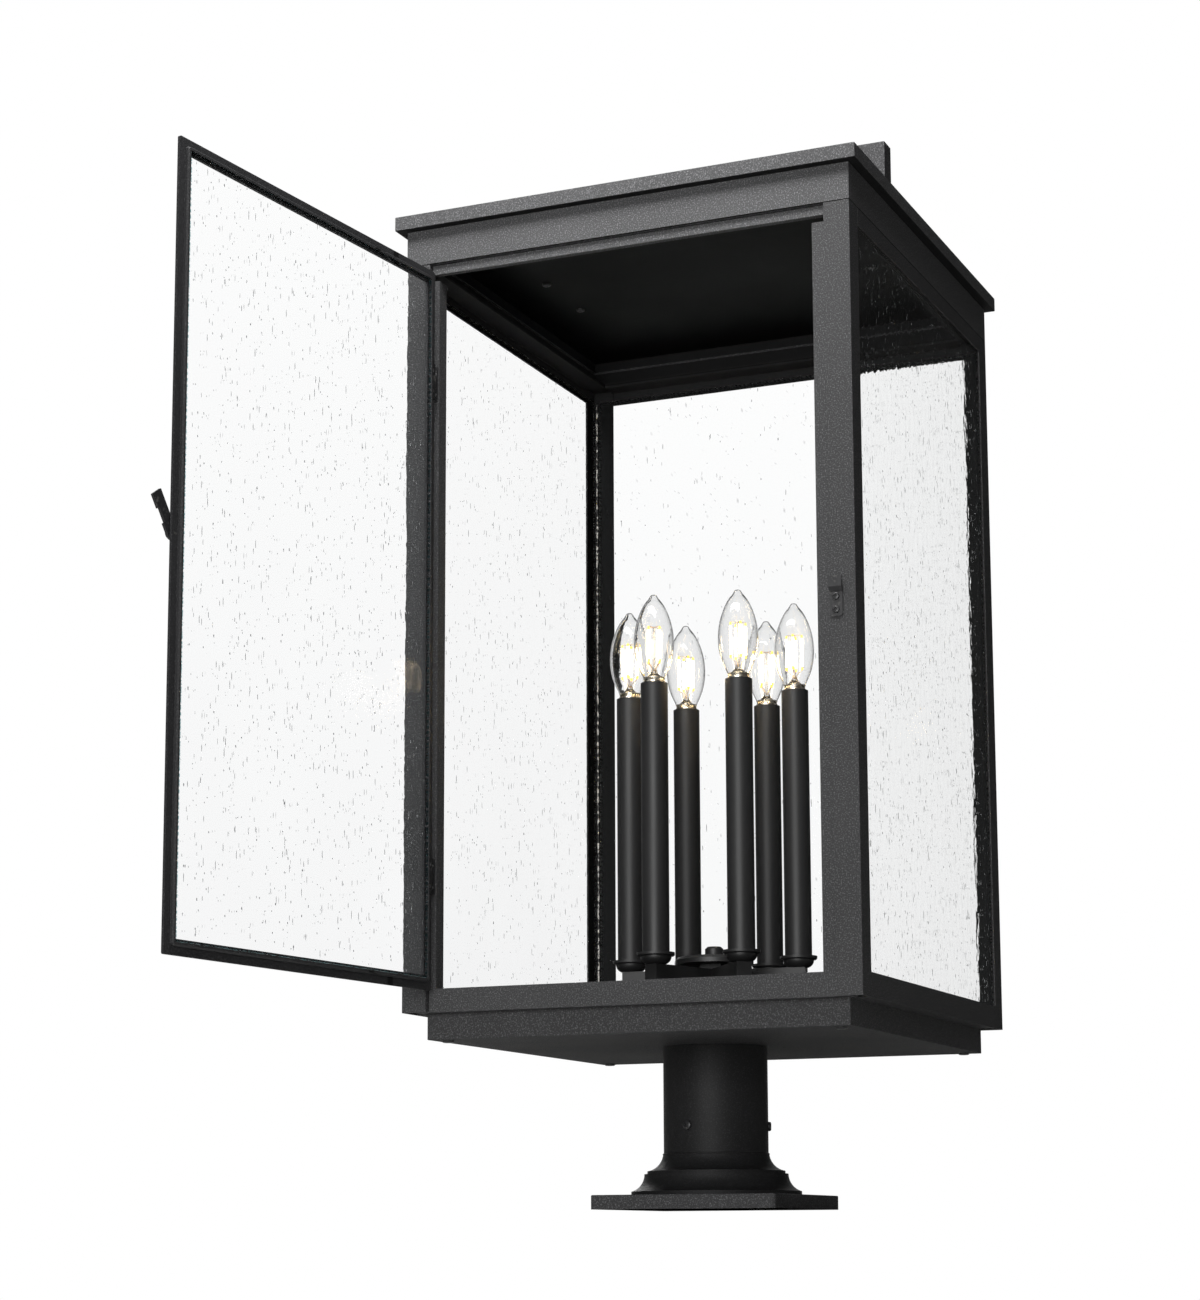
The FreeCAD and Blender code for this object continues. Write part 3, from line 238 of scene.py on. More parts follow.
# ---------------------------------------------------------------------------------------------
# Pier fitter: thick square plate, spun flange in two hollowed steps, and the round column sleeve
# over its spigot, with a fine bead where sleeve and flange meet. The plate is in the frame's black,
# in its paler copy with painted light; the turned pieces in a smoother satin whose curves carry
# long soft highlights.
# ---------------------------------------------------------------------------------------------
fitter_coat = sprayed_finish("satin black powder coat", dark=(0.0105, 0.0105, 0.0108),
                             light=(0.026, 0.026, 0.0268), rough_low=0.5, rough_high=0.58,
                             shine=0.16, grain_scale=1000.0, bump=0.3)
finish_nodes(fitter_coat, "pier_flange", "column_sleeve")
# The plate takes the same paler copy of the coat, painted light.
finish_nodes(painted_lit_coat, "base_plate")


def keep_mesh(bm, name, material, smooth_angle=35):
    """Finish a bmesh as an object at the origin."""
    bmesh.ops.remove_doubles(bm, verts=bm.verts, dist=1e-6)
    bmesh.ops.recalc_face_normals(bm, faces=bm.faces)
    mesh = bpy.data.meshes.new(name)
    bm.to_mesh(mesh)
    bm.free()
    mesh.materials.append(material)
    mesh.shade_smooth()
    mesh.set_sharp_from_angle(angle=math.radians(smooth_angle))
    made = bpy.data.objects.new(name, mesh)
    bpy.context.scene.collection.objects.link(made)
    return made


def join_part(bm, part):
    """Add a finished bmesh to a larger one."""
    step = bpy.data.meshes.new("joining_step")
    part.to_mesh(step)
    part.free()
    bm.from_mesh(step)
    bpy.data.meshes.remove(step)


def spun(bm, outline, steps=48, centre=(0, 0, 0)):
    """Turn an outline of (radius, height) points round the upright axis through centre."""
    part = bmesh.new()
    points = [part.verts.new((radius, 0, height)) for radius, height in outline]
    edges = [part.edges.new(pair) for pair in zip(points, points[1:])]
    bmesh.ops.spin(part, geom=points + edges, cent=(0, 0, 0), axis=(0, 0, 1), angle=2 * math.pi,
                   steps=steps, use_merge=True)
    bmesh.ops.remove_doubles(part, verts=part.verts, dist=1e-6)
    bmesh.ops.transform(part, matrix=Matrix.Translation(centre), verts=part.verts)
    join_part(bm, part)


sleeve_low, sleeve_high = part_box("column_sleeve")
sleeve_radius = sleeve_high[0]
joint = sleeve_low[2]
bm = bmesh.new()
spun(bm, [(sleeve_radius - 0.0006, joint - 0.0012), (sleeve_radius + 0.0005, joint - 0.0010),
          (sleeve_radius + 0.0010, joint - 0.0002), (sleeve_radius + 0.0009, joint + 0.0004),
          (sleeve_radius + 0.0003, joint + 0.0008), (sleeve_radius - 0.0006, joint + 0.0008),
          (sleeve_radius - 0.0006, joint - 0.0012)], steps=96)
bead = keep_mesh(bm, "neck_bead", fitter_coat, 40)
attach(bead, "lantern")

# ---------------------------------------------------------------------------------------------
# Ceiling lip: the ceiling sheet's edge turned down just inside the header. It carries the painted
# shade of the inner faces, all but its narrow lower edge, which stays in the paler coat and catches
# the bulbs' light from below.
# ---------------------------------------------------------------------------------------------
lip_gap, lip_chamfer = 0.0006, 0.0003
lip_out, lip_in = ceiling_high[0] - lip_gap, ceiling_high[0] - 0.0022
lip_head, lip_foot = ceiling_low[2] - 0.0001, ceiling_low[2] - lip_depth
section = ((lip_out, lip_head), (lip_out, lip_foot + lip_chamfer),
           (lip_out - lip_chamfer, lip_foot), (lip_in + lip_chamfer, lip_foot),
           (lip_in, lip_foot + lip_chamfer), (lip_in, lip_head), (lip_out, lip_head))
bm = bmesh.new()
spun(bm, [(reach * math.sqrt(2.0), level) for reach, level in section], steps=4)
bmesh.ops.rotate(bm, cent=(0, 0, 0), matrix=Matrix.Rotation(math.pi / 4, 3, "Z"), verts=bm.verts)
lip = keep_mesh(bm, "ceiling_lip", painted_lit_coat)
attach(lip, "lantern")

# ---------------------------------------------------------------------------------------------
# Hidden steel: the spigot tube, the threaded nipple with its four nuts, and the small countersunk
# screws of the hinge leaves. Zinc plated, with faint drawing lines along Z.
# ---------------------------------------------------------------------------------------------
zinc, tree, shader = start_material("zinc plated steel")
where = add(tree, "ShaderNodeTexCoord").outputs["Object"]
stretch = add(tree, "ShaderNodeMapping")
stretch.inputs["Scale"].default_value = (1.0, 1.0, 0.04)
tree.links.new(where, stretch.inputs["Vector"])
drawn = noise(tree, stretch.outputs["Vector"], 1400.0, 2.0)
tree.links.new(blend_colours(tree, drawn, (0.34, 0.34, 0.36), (0.58, 0.57, 0.55)),
               shader.inputs["Base Color"])
tree.links.new(ramp_between(tree, drawn, 0.3, 0.7, 0.28, 0.5), shader.inputs["Roughness"])
shader.inputs["Metallic"].default_value = 1.0
finish_nodes(zinc, "pier_spigot", "centre_nipple", "nipple_nuts", "frame_leaf_screws",
             "door_leaf_screws")

# ---------------------------------------------------------------------------------------------
# Black hardware: keeper strap, latch lever and its rivet, hinge leaves and pins. Small pressed
# pieces in satin black, with bare metal showing through a little where they rub.
# ---------------------------------------------------------------------------------------------
hardware, tree, shader = start_material("rubbed black hardware")
grain = add(tree, "ShaderNodeGroup", node_tree=grain_group)
grain.inputs["Grain Scale"].default_value = 700.0
grain.inputs["Cloud Scale"].default_value = 160.0
rubbed = ramp_between(tree, grain.outputs["Cloud"], 0.72, 1.0)
tree.links.new(blend_colours(tree, rubbed, (0.018, 0.018, 0.019), (0.075, 0.073, 0.07)),
               shader.inputs["Base Color"])
tree.links.new(ramp_between(tree, grain.outputs["Cloud"], 0.0, 1.0, 0.42, 0.3),
               shader.inputs["Roughness"])
shader.inputs["Specular IOR Level"].default_value = 0.4
raise_grain(tree, shader, grain.outputs["Height"], strength=0.15, depth=0.0004)
finish_nodes(hardware, "keeper", "latch_lever", "latch_pivot", "hinge_pins", "hinge_frame_leaves",
             "hinge_door_leaves")

# ---------------------------------------------------------------------------------------------
# Screws whose heads show: two cross-head pan screws in the keeper, four domed ones under the tray,
# four in the ceiling and three button heads with a hexagon socket round the column sleeve.
# ---------------------------------------------------------------------------------------------
HEAD_SIDES = 32


def ring(bm, count, radius, height):
    """Closed loop of edges round the upright axis."""
    points = []
    for step in range(count):
        turn = 2 * math.pi * step / count
        points.append(bm.verts.new((radius * math.cos(turn), radius * math.sin(turn), height)))
    return [bm.edges.new(pair) for pair in zip(points, points[1:] + points[:1])]


def cross_ring(bm, reach, width, height):
    """Closed loop of edges round a cross-head slot."""
    half = width / 2
    corners = ((reach, -half), (reach, half), (half, half), (half, reach), (-half, reach),
               (-half, half), (-reach, half), (-reach, -half), (-half, -half), (-half, -reach),
               (half, -reach), (half, -half))
    points = [bm.verts.new((x, y, height)) for x, y in corners]
    return [bm.edges.new(pair) for pair in zip(points, points[1:] + points[:1])]


def add_screw(bm, centre, axis, radius, stand, shank_radius, shank_length, socket):
    """Screw with a rounded head along axis from the face it bears on, and a sunk drive."""
    part = bmesh.new()
    loops = [ring(part, HEAD_SIDES, radius * wide, stand * high)
             for wide, high in ((1.0, 0.0), (1.0, 0.42), (0.93, 0.78), (0.72, 1.0))]
    for low, high in zip(loops, loops[1:]):
        bmesh.ops.bridge_loops(part, edges=low + high)
    if socket == "cross":
        mouth = cross_ring(part, radius * 0.52, radius * 0.24, stand)
        sunk = cross_ring(part, radius * 0.34, radius * 0.18, stand * 0.35)
    else:
        mouth = ring(part, 6, radius * 0.46, stand)
        sunk = ring(part, 6, radius * 0.42, stand * 0.3)
    bmesh.ops.triangle_fill(part, use_beauty=True, edges=loops[-1] + mouth)
    bmesh.ops.bridge_loops(part, edges=mouth + sunk)
    bmesh.ops.triangle_fill(part, use_beauty=True, edges=sunk)
    shank_top = ring(part, HEAD_SIDES, shank_radius, 0.0)
    shank_end = ring(part, HEAD_SIDES, shank_radius, -shank_length)
    bmesh.ops.bridge_loops(part, edges=loops[0] + shank_top)
    bmesh.ops.bridge_loops(part, edges=shank_top + shank_end)
    bmesh.ops.triangle_fill(part, use_beauty=True, edges=shank_end)
    spin = Vector((0, 0, 1)).rotation_difference(Vector(axis)).to_matrix().to_4x4()
    bmesh.ops.transform(part, matrix=Matrix.Translation(centre) @ spin, verts=part.verts)
    join_part(bm, part)


def screw_set(name, node, places, axis_of, radius, stand, shank_radius, shank_length, socket):
    """One object with a screw at each place, instead of the CAD node named."""
    bm = bmesh.new()
    for place in places:
        add_screw(bm, place, axis_of(place), radius, stand, shank_radius, shank_length, socket)
    made = keep_mesh(bm, name, hardware)
    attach(made, "lantern")
    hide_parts(node)


low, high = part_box("keeper_screws")
keeper_radius, keeper_stand = 0.003, 0.0016
screw_set("keeper_pan_screws", "keeper_screws",
          [Vector(((low[0] + high[0]) / 2, low[1] + keeper_stand, level))
           for level in (low[2] + keeper_radius, high[2] - keeper_radius)],
          lambda place: (0, -1, 0), keeper_radius, keeper_stand, shank_radius=0.0015,
          shank_length=0.009, socket="cross")

low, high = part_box("tray_screws")
tray_radius, dome = 0.005, 0.003
screw_set("tray_pan_screws", "tray_screws",
          [Vector((x, y, low[2] + dome)) for x in (low[0] + tray_radius, high[0] - tray_radius)
           for y in (low[1] + tray_radius, high[1] - tray_radius)],
          lambda place: (0, 0, -1), tray_radius, stand=0.0018, shank_radius=0.002,
          shank_length=high[2] - low[2] - dome, socket="cross")

low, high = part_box("ceiling_screws")
ceiling_radius, ceiling_stand = 0.004, 0.0022
screw_set("ceiling_pan_screws", "ceiling_screws",
          [Vector((x, y, low[2] + ceiling_stand))
           for x in (low[0] + ceiling_radius, high[0] - ceiling_radius)
           for y in (low[1] + ceiling_radius, high[1] - ceiling_radius)],
          lambda place: (0, 0, -1), ceiling_radius, ceiling_stand, shank_radius=0.002,
          shank_length=high[2] - low[2] - ceiling_stand, socket="cross")

low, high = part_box("sleeve_set_screws")
set_level = (low[2] + high[2]) / 2
set_turns = [math.radians(turn) for turn in (19, 139, 259)]
screw_set("column_button_screws", "sleeve_set_screws",
          [Vector((sleeve_radius * math.cos(turn), sleeve_radius * math.sin(turn), set_level))
           for turn in set_turns],
          lambda place: (place[0] / sleeve_radius, place[1] / sleeve_radius, 0), radius=0.004,
          stand=0.0025, shank_radius=0.0024, shank_length=0.0068, socket="hexagon")

# ---------------------------------------------------------------------------------------------
# Glass: three fixed panes and the door's pane, all of drawn seeded glass. It is clear, with small
# bubbles, short upright threads, and a ripple that makes edges seen through it waver.
# ---------------------------------------------------------------------------------------------
pane_group, entry, leave = new_group(
    "seeds and ripple",
    [("Along X", 1.0), ("Along Y", 0.0), ("Bubble Scale", 240.0), ("Thread Scale", 190.0),
     ("Ripple Scale", 110.0), ("Left", 0.0), ("Right", 0.0), ("Foot", 0.0), ("Head", 0.0)],
    ["Seed", "Ripple", "Grey Shade", "Edge"])


def pane_place(tree, across, upright, squeeze):
    """Flat coordinates on a pane, squeezed upright so that round marks come out drawn."""
    made = add(tree, "ShaderNodeCombineXYZ")
    tree.links.new(across, made.inputs["X"])
    tree.links.new(maths(tree, "MULTIPLY", upright, squeeze), made.inputs["Y"])
    return made.outputs["Vector"]


def scattered(tree, place, scale, size_low, size_high, soft):
    """Spots round random points, of random size, many of them too small to show."""
    cells = add(tree, "ShaderNodeTexVoronoi", feature="F1", voronoi_dimensions="2D")
    tree.links.new(place, cells.inputs["Vector"])
    tree.links.new(scale, cells.inputs["Scale"])
    parts = add(tree, "ShaderNodeSeparateColor")
    tree.links.new(cells.outputs["Color"], parts.inputs["Color"])
    size = ramp_between(tree, parts.outputs["Red"], 0.0, 1.0, size_low, size_high)
    return ramp_between(tree, maths(tree, "SUBTRACT", size, cells.outputs["Distance"]), 0.0, soft)


split = add(pane_group, "ShaderNodeSeparateXYZ")
pane_group.links.new(add(pane_group, "ShaderNodeTexCoord").outputs["Object"],
                     split.inputs["Vector"])
across = maths(pane_group, "ADD",
               maths(pane_group, "MULTIPLY", split.outputs["X"], entry.outputs["Along X"]),
               maths(pane_group, "MULTIPLY", split.outputs["Y"], entry.outputs["Along Y"]))
upright = split.outputs["Z"]
bubbles = scattered(pane_group, pane_place(pane_group, across, upright, 0.45),
                    entry.outputs["Bubble Scale"], size_low=-0.6, size_high=0.12, soft=0.08)
threads = scattered(pane_group, pane_place(pane_group, across, upright, 0.14),
                    entry.outputs["Thread Scale"], size_low=-0.4, size_high=0.09, soft=0.05)
pane_group.links.new(maths(pane_group, "MAXIMUM", bubbles, threads), leave.inputs["Seed"])
wavy = pane_place(pane_group, across, upright, 0.5)
pane_group.links.new(noise(pane_group, wavy, entry.outputs["Ripple Scale"], 2.0),
                     leave.inputs["Ripple"])
glass_low, glass_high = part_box("glass_right")
# Painted shade: a cloudy grey, heaviest at the foot and fading upwards, greys each pane by its own
# tint.
grey_shade_below = ramp_between(pane_group, upright, glass_low[2], glass_high[2], 0.95, 0.1)
grey_shade_clouds = ramp_between(pane_group, noise(pane_group, wavy, 9.0, 2.0), 0.2, 0.6, 0.7, 1.0)
pane_group.links.new(maths(pane_group, "MULTIPLY", grey_shade_below, grey_shade_clouds), leave.inputs["Grey Shade"])
cut_width = 0.0012
edges = [maths(pane_group, "COMPARE", place, entry.outputs[side], cut_width)
         for place, side in ((across, "Left"), (across, "Right"),
                             (upright, "Foot"), (upright, "Head"))]
border = maths(pane_group, "MAXIMUM", maths(pane_group, "MAXIMUM", edges[0], edges[1]),
               maths(pane_group, "MAXIMUM", edges[2], edges[3]))
chips = noise(pane_group, pane_place(pane_group, across, upright, 1.0), 420.0, 1.0)
rough_edge = maths(pane_group, "MULTIPLY", border, ramp_between(pane_group, chips, 0.42, 0.52))
pane_group.links.new(rough_edge, leave.inputs["Edge"])


def let_lamps_through(tree, shader, tint):
    """Lamp light passes the pane unbent, as it does through thin glass."""
    clear = add(tree, "ShaderNodeBsdfTransparent")
    clear.inputs["Color"].default_value = tint
    path = add(tree, "ShaderNodeLightPath")
    either = add(tree, "ShaderNodeMixShader")
    tree.links.new(path.outputs["Is Shadow Ray"], either.inputs[0])
    tree.links.new(shader.outputs[0], either.inputs[1])
    tree.links.new(clear.outputs[0], either.inputs[2])
    tree.links.new(either.outputs[0], tree.nodes["Material Output"].inputs["Surface"])


def pane_faces(node):
    """Which way a pane's broad face looks, and which way the pane runs."""
    outward = max(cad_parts[node].data.polygons, key=lambda face: face.area).normal.copy()
    return outward, outward.cross(Vector((0, 0, 1))).normalized()


def pane_spans(node):
    """How far a pane reaches along itself, through itself, and upright."""
    outward, along = pane_faces(node)
    spans = []
    for axis in (along, outward, Vector((0, 0, 1))):
        reaches = [vertex.co.dot(axis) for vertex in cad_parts[node].data.vertices]
        spans.append((min(reaches), max(reaches)))
    return spans


def seeded_pane(name, node, shaded_lower_tint, edge_tint=(0.95, 0.97, 0.94)):
    """Seeded glass: faint marks lying flat in the pane, a roughly cut edge, and a painted grey
    shade, set for each pane, heaviest towards the foot and paler above.

    The refraction is kept low, as in a thin pane, so edges seen through it stay in place.
    """
    material, tree, shader = start_material(name)
    along = pane_faces(node)[1]
    (left, right), _, (foot, head) = pane_spans(node)
    seeds = add(tree, "ShaderNodeGroup", node_tree=pane_group)
    seeds.inputs["Along X"].default_value = along.x
    seeds.inputs["Along Y"].default_value = along.y
    for side, place in (("Left", left), ("Right", right), ("Foot", foot), ("Head", head)):
        seeds.inputs[side].default_value = place
    upper_tint = (0.99, 0.994, 0.994)
    shade_tinted = blend_colours(tree, seeds.outputs["Grey Shade"], upper_tint, shaded_lower_tint)
    marked = blend_colours(tree, seeds.outputs["Seed"], shade_tinted, (0.26, 0.265, 0.27))
    tree.links.new(blend_colours(tree, seeds.outputs["Edge"], marked, edge_tint),
                   shader.inputs["Base Color"])
    seed_rough = maths(tree, "MULTIPLY", seeds.outputs["Seed"], 0.2)
    edge_rough = maths(tree, "MULTIPLY", seeds.outputs["Edge"], 0.7)
    tree.links.new(maths(tree, "MAXIMUM", seed_rough, edge_rough), shader.inputs["Roughness"])
    shader.inputs["Transmission Weight"].default_value = 1.0
    shader.inputs["IOR"].default_value = 1.09
    uneven = maths(tree, "ADD", seeds.outputs["Ripple"],
                   maths(tree, "MULTIPLY", seeds.outputs["Seed"], 0.8))
    raise_grain(tree, shader, uneven, strength=0.35, depth=0.0008)
    let_lamps_through(tree, shader, (0.93, 0.94, 0.94, 1.0))
    finish_nodes(material, node)


# Each pane's lower tint is painted shade, set pane by pane.
seeded_pane("seeded glass in the left side", "glass_left", (0.91, 0.913, 0.916))
seeded_pane("seeded glass in the right side", "glass_right", (1.0, 1.0, 1.0))
seeded_pane("seeded glass in the back", "glass_back", (0.925, 0.93, 0.93))
seeded_pane("seeded glass in the door", "door_glass", (0.92, 0.923, 0.926), (0.06, 0.14, 0.15))

# ---------------------------------------------------------------------------------------------
# Seeds: the larger bubbles caught inside each pane, round ones and ones drawn out upwards into
# threads. They are real small bodies in the glass, so they show from every side.
# ---------------------------------------------------------------------------------------------
seed_glass, tree, shader = start_material("bubble in glass")
tinge = noise(tree, add(tree, "ShaderNodeTexCoord").outputs["Object"], 300.0, 1.0)
tree.links.new(blend_colours(tree, tinge, (0.04, 0.042, 0.045), (0.5, 0.51, 0.52)),
               shader.inputs["Base Color"])
shader.inputs["Transmission Weight"].default_value = 1.0
shader.inputs["Roughness"].default_value = 0.22
shader.inputs["IOR"].default_value = 1.5
let_lamps_through(tree, shader, (0.9, 0.9, 0.9, 1.0))
BATCH = 80
CLEAR_EDGE = 0.006
THREAD_GIRTH, THREAD_DRAWN = (0.00015, 0.00034), (5.0, 14.0)
BUBBLE_SHARE, BUBBLE_GIRTH, BUBBLE_DRAWN = 0.6, (0.9, 1.6), (1.1, 3.2)


def add_seeds(name, node, body, spacing, draw):
    """Scatter bubbles through a pane, about one in each square of that spacing.

    They are added in batches, because joining one large mesh seed by seed takes long.
    """
    outward, along = pane_faces(node)
    (left, right), (inner, outer), (foot, head) = pane_spans(node)
    bm = bmesh.new()
    for _ in range(int((right - left) * (head - foot) / spacing ** 2 / BATCH)):
        part = bmesh.new()
        for _ in range(BATCH):
            place = along * draw.uniform(left + CLEAR_EDGE, right - CLEAR_EDGE)
            place += outward * (inner + (outer - inner) * draw.uniform(0.35, 0.65))
            place.z = draw.uniform(foot + CLEAR_EDGE, head - CLEAR_EDGE)
            girth = draw.uniform(*THREAD_GIRTH)
            drawn = draw.uniform(*THREAD_DRAWN)
            if draw.random() < BUBBLE_SHARE:
                girth *= draw.uniform(*BUBBLE_GIRTH)
                drawn = draw.uniform(*BUBBLE_DRAWN)
            bmesh.ops.create_icosphere(
                part, subdivisions=1, radius=girth,
                matrix=Matrix.Translation(place) @ Matrix.Diagonal((1.0, 1.0, drawn, 1.0)))
        join_part(bm, part)
    seeds = keep_mesh(bm, name, seed_glass, 180)
    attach(seeds, body)


draw = random.Random(41)
add_seeds("seeds_left", "glass_left", "lantern", 0.012, draw)
add_seeds("seeds_right", "glass_right", "lantern", 0.0105, draw)
add_seeds("seeds_back", "glass_back", "lantern", 0.018, draw)
add_seeds("seeds_door", "door_glass", "door", 0.0095, draw)

# ---------------------------------------------------------------------------------------------
# Corner seals: an uneven run of clear sealant up each corner between two panes. It shows as a
# broken bright line: its colour is painted light and shade, pale patches set by noise on a
# near-black run, in place of the bulbs' light caught on it.
# ---------------------------------------------------------------------------------------------
sealant, tree, shader = start_material("clear sealant")
lumps_and_painted_glints = noise(tree, add(tree, "ShaderNodeTexCoord").outputs["Object"], 260.0, 2.0)
tree.links.new(blend_colours(tree, ramp_between(tree, lumps_and_painted_glints, 0.47, 0.56), (0.02, 0.02, 0.02),
                             (0.62, 0.6, 0.56)), shader.inputs["Base Color"])
tree.links.new(ramp_between(tree, lumps_and_painted_glints, 0.3, 0.7, 0.5, 0.25), shader.inputs["Roughness"])
left_low, left_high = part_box("glass_left")
seal_out = (abs(left_high[0]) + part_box("glass_back")[1][0]) / 2
seal_foot, seal_length = left_low[2] + 0.002, left_high[2] - left_low[2] - 0.004
seal_steps, seal_sides = 160, 8
seal_girth, seal_wander = (0.0006, 0.0011), (-0.0002, 0.0002)
bm = bmesh.new()
for side, end in ((-1, 1), (1, 1), (-1, -1), (1, -1)):
    part = bmesh.new()
    loops = []
    for step in range(seal_steps + 1):
        level = seal_foot + seal_length * step / seal_steps
        loop = ring(part, seal_sides, draw.uniform(*seal_girth), level)
        wander = Vector((draw.uniform(*seal_wander), draw.uniform(*seal_wander), 0))
        bmesh.ops.translate(part, vec=wander,
                            verts=list({vertex for edge in loop for vertex in edge.verts}))
        loops.append(loop)
    for low_loop, high_loop in zip(loops, loops[1:]):
        bmesh.ops.bridge_loops(part, edges=low_loop + high_loop)
    for loop in (loops[0], loops[-1]):
        bmesh.ops.triangle_fill(part, use_beauty=True, edges=loop)
    bmesh.ops.translate(part, vec=(side * seal_out, end * seal_out, 0), verts=part.verts)
    join_part(bm, part)
seals = keep_mesh(bm, "corner_seals", sealant, 60)
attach(seals, "lantern")

# ---------------------------------------------------------------------------------------------
# Door frame: flat flange with a raised stop behind it, mitred from one extrusion. The same textured
# black in a darker copy, painted shade, since it faces away from the light.
# ---------------------------------------------------------------------------------------------
shaded_door_coat = sprayed_finish("textured black powder coat on the door, painted in shade", dark=(0.019, 0.019, 0.02),
                           light=(0.05, 0.05, 0.052), rough_low=0.48, rough_high=0.58,
                           shine=0.24, grain_scale=900.0, bump=0.4)
finish_nodes(shaded_door_coat, "door_frame")

# ---------------------------------------------------------------------------------------------
# Candle cluster: six square arms from the middle, turned cups and bobeches, a hub disc with its
# finial, and tube sleeves over the sockets. Satin black paint, smooth enough to show long lights.
# ---------------------------------------------------------------------------------------------
candle_coat = sprayed_finish("satin black candle paint", dark=(0.0125, 0.0125, 0.0127),
                             light=(0.02, 0.02, 0.0205), rough_low=0.44, rough_high=0.52,
                             shine=0.4, grain_scale=1500.0, bump=0.08)
candles = ["candle_sleeve_%d" % number for number in range(1, 7)]
finish_nodes(candle_coat, "arm_spider", "hub_disc", "finial_knob", "candle_cups", "bobeches",
             *candles)

# ---------------------------------------------------------------------------------------------
# Lamp sockets: moulded black phenolic, only their rims show inside the sleeves.
# ---------------------------------------------------------------------------------------------
phenolic, tree, shader = start_material("moulded black phenolic")
grain = add(tree, "ShaderNodeGroup", node_tree=grain_group)
grain.inputs["Grain Scale"].default_value = 400.0
tree.links.new(blend_colours(tree, grain.outputs["Glitter"], (0.022, 0.021, 0.02),
                             (0.035, 0.033, 0.03)), shader.inputs["Base Color"])
tree.links.new(ramp_between(tree, grain.outputs["Height"], 0.3, 0.7, 0.3, 0.42),
               shader.inputs["Roughness"])
finish_nodes(phenolic, "lamp_sockets")

# ---------------------------------------------------------------------------------------------
# Bulb caps: pressed nickelled brass with a rolled collar under the glass and a screw shell down in
# the socket. Turned round each candle's axis, with a real groove between the collar's two beads.
# ---------------------------------------------------------------------------------------------
centres = []
for name in candles:
    low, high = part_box(name)
    centres.append(Vector(((low[0] + high[0]) / 2, (low[1] + high[1]) / 2, 0)))
candle_top = high[2]
glass_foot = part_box("bulb_glass")[0][2]
cap_low, cap_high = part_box("bulb_bases")
collar = cap_high[2] - candle_top
shell_foot = cap_low[2]
thread_count, thread_pitch, thread_rise = 5, 0.0034, 0.0009
cap_outline = [(0.0, shell_foot), (0.0040, shell_foot)]
for thread in range(thread_count):
    level = shell_foot + 0.0012 + thread * thread_pitch
    cap_outline += [(0.0055, level), (0.0060, level + thread_rise),
                    (0.0055, level + 2 * thread_rise)]
cap_outline += [(0.0056, candle_top), (0.0094, candle_top), (0.0096, candle_top + collar * 0.1),
                (0.0096, candle_top + collar * 0.28), (0.0091, candle_top + collar * 0.4),
                (0.0090, candle_top + collar * 0.74), (0.0094, candle_top + collar * 0.82),
                (0.0095, candle_top + collar * 0.92), (0.0092, cap_high[2]), (0.0, cap_high[2])]
bm = bmesh.new()
for centre in centres:
    spun(bm, cap_outline, centre=centre)
nickel, tree, shader = start_material("nickelled brass")
where = add(tree, "ShaderNodeTexCoord").outputs["Object"]
tarnish = noise(tree, where, 220.0, 3.0)
tree.links.new(blend_colours(tree, ramp_between(tree, tarnish, 0.35, 0.65), (0.80, 0.70, 0.52),
                             (0.86, 0.82, 0.74)), shader.inputs["Base Color"])
tree.links.new(ramp_between(tree, tarnish, 0.3, 0.7, 0.18, 0.34), shader.inputs["Roughness"])
shader.inputs["Metallic"].default_value = 1.0
caps = keep_mesh(bm, "bulb_caps", nickel, 30)
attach(caps, "lantern")
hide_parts("bulb_bases")

# ---------------------------------------------------------------------------------------------
# Bulb envelopes: clear blown glass with a fine wall, drawn to a torpedo point. Only their edges
# show, as a fine grey line of painted reflection, with faint streaks of light down the sides.
# ---------------------------------------------------------------------------------------------


def blown_glass(name, edge_tint):
    """Clear glass whose rim, seen edge on, darkens to edge_tint: a painted reflection of the dim
    surroundings.
    """
    material, tree, shader = start_material(name)
    edge = add(tree, "ShaderNodeLayerWeight")
    edge.inputs["Blend"].default_value = 0.5
    painted_dark_rim = ramp_between(tree, edge.outputs["Facing"], 0.8, 0.98)
    tree.links.new(blend_colours(tree, painted_dark_rim, (0.985, 0.985, 0.985), edge_tint),
                   shader.inputs["Base Color"])
    drawn_out = add(tree, "ShaderNodeMapping")
    drawn_out.inputs["Scale"].default_value = (1.0, 1.0, 0.3)
    tree.links.new(add(tree, "ShaderNodeTexCoord").outputs["Object"], drawn_out.inputs["Vector"])
    raise_grain(tree, shader, noise(tree, drawn_out.outputs["Vector"], 120.0, 1.0),
                strength=0.06, depth=0.001)
    shader.inputs["Transmission Weight"].default_value = 1.0
    shader.inputs["Roughness"].default_value = 0.0
    shader.inputs["IOR"].default_value = 1.45
    let_lamps_through(tree, shader, (0.96, 0.96, 0.96, 1.0))
    return material


blown = blown_glass("clear blown glass", (0.03, 0.03, 0.032))
finish_nodes(blown, "bulb_glass")

# ---------------------------------------------------------------------------------------------
# Bulb mounts: a flared glass foot with a slim rod, and the bronze wires that hold and feed the
# four filaments: a cross at their tops, and bent legs below that meet at the foot.
# ---------------------------------------------------------------------------------------------
stem_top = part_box("bulb_stems")[1][2]
filament_low, filament_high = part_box("led_filaments")
filament_ring = 0.0068
wire_sides, cross_wire, clamp_wire, lead_wire = 8, 0.00022, 0.00035, 0.00028
clamp_length = 0.0008
# Each leg bends at a knee on its way to the foot; every other one ends a little past the middle.
knee_share, knee_drop = 0.45, 0.0035
root_shares, root_rise = (-0.128, 0.32), 0.0052


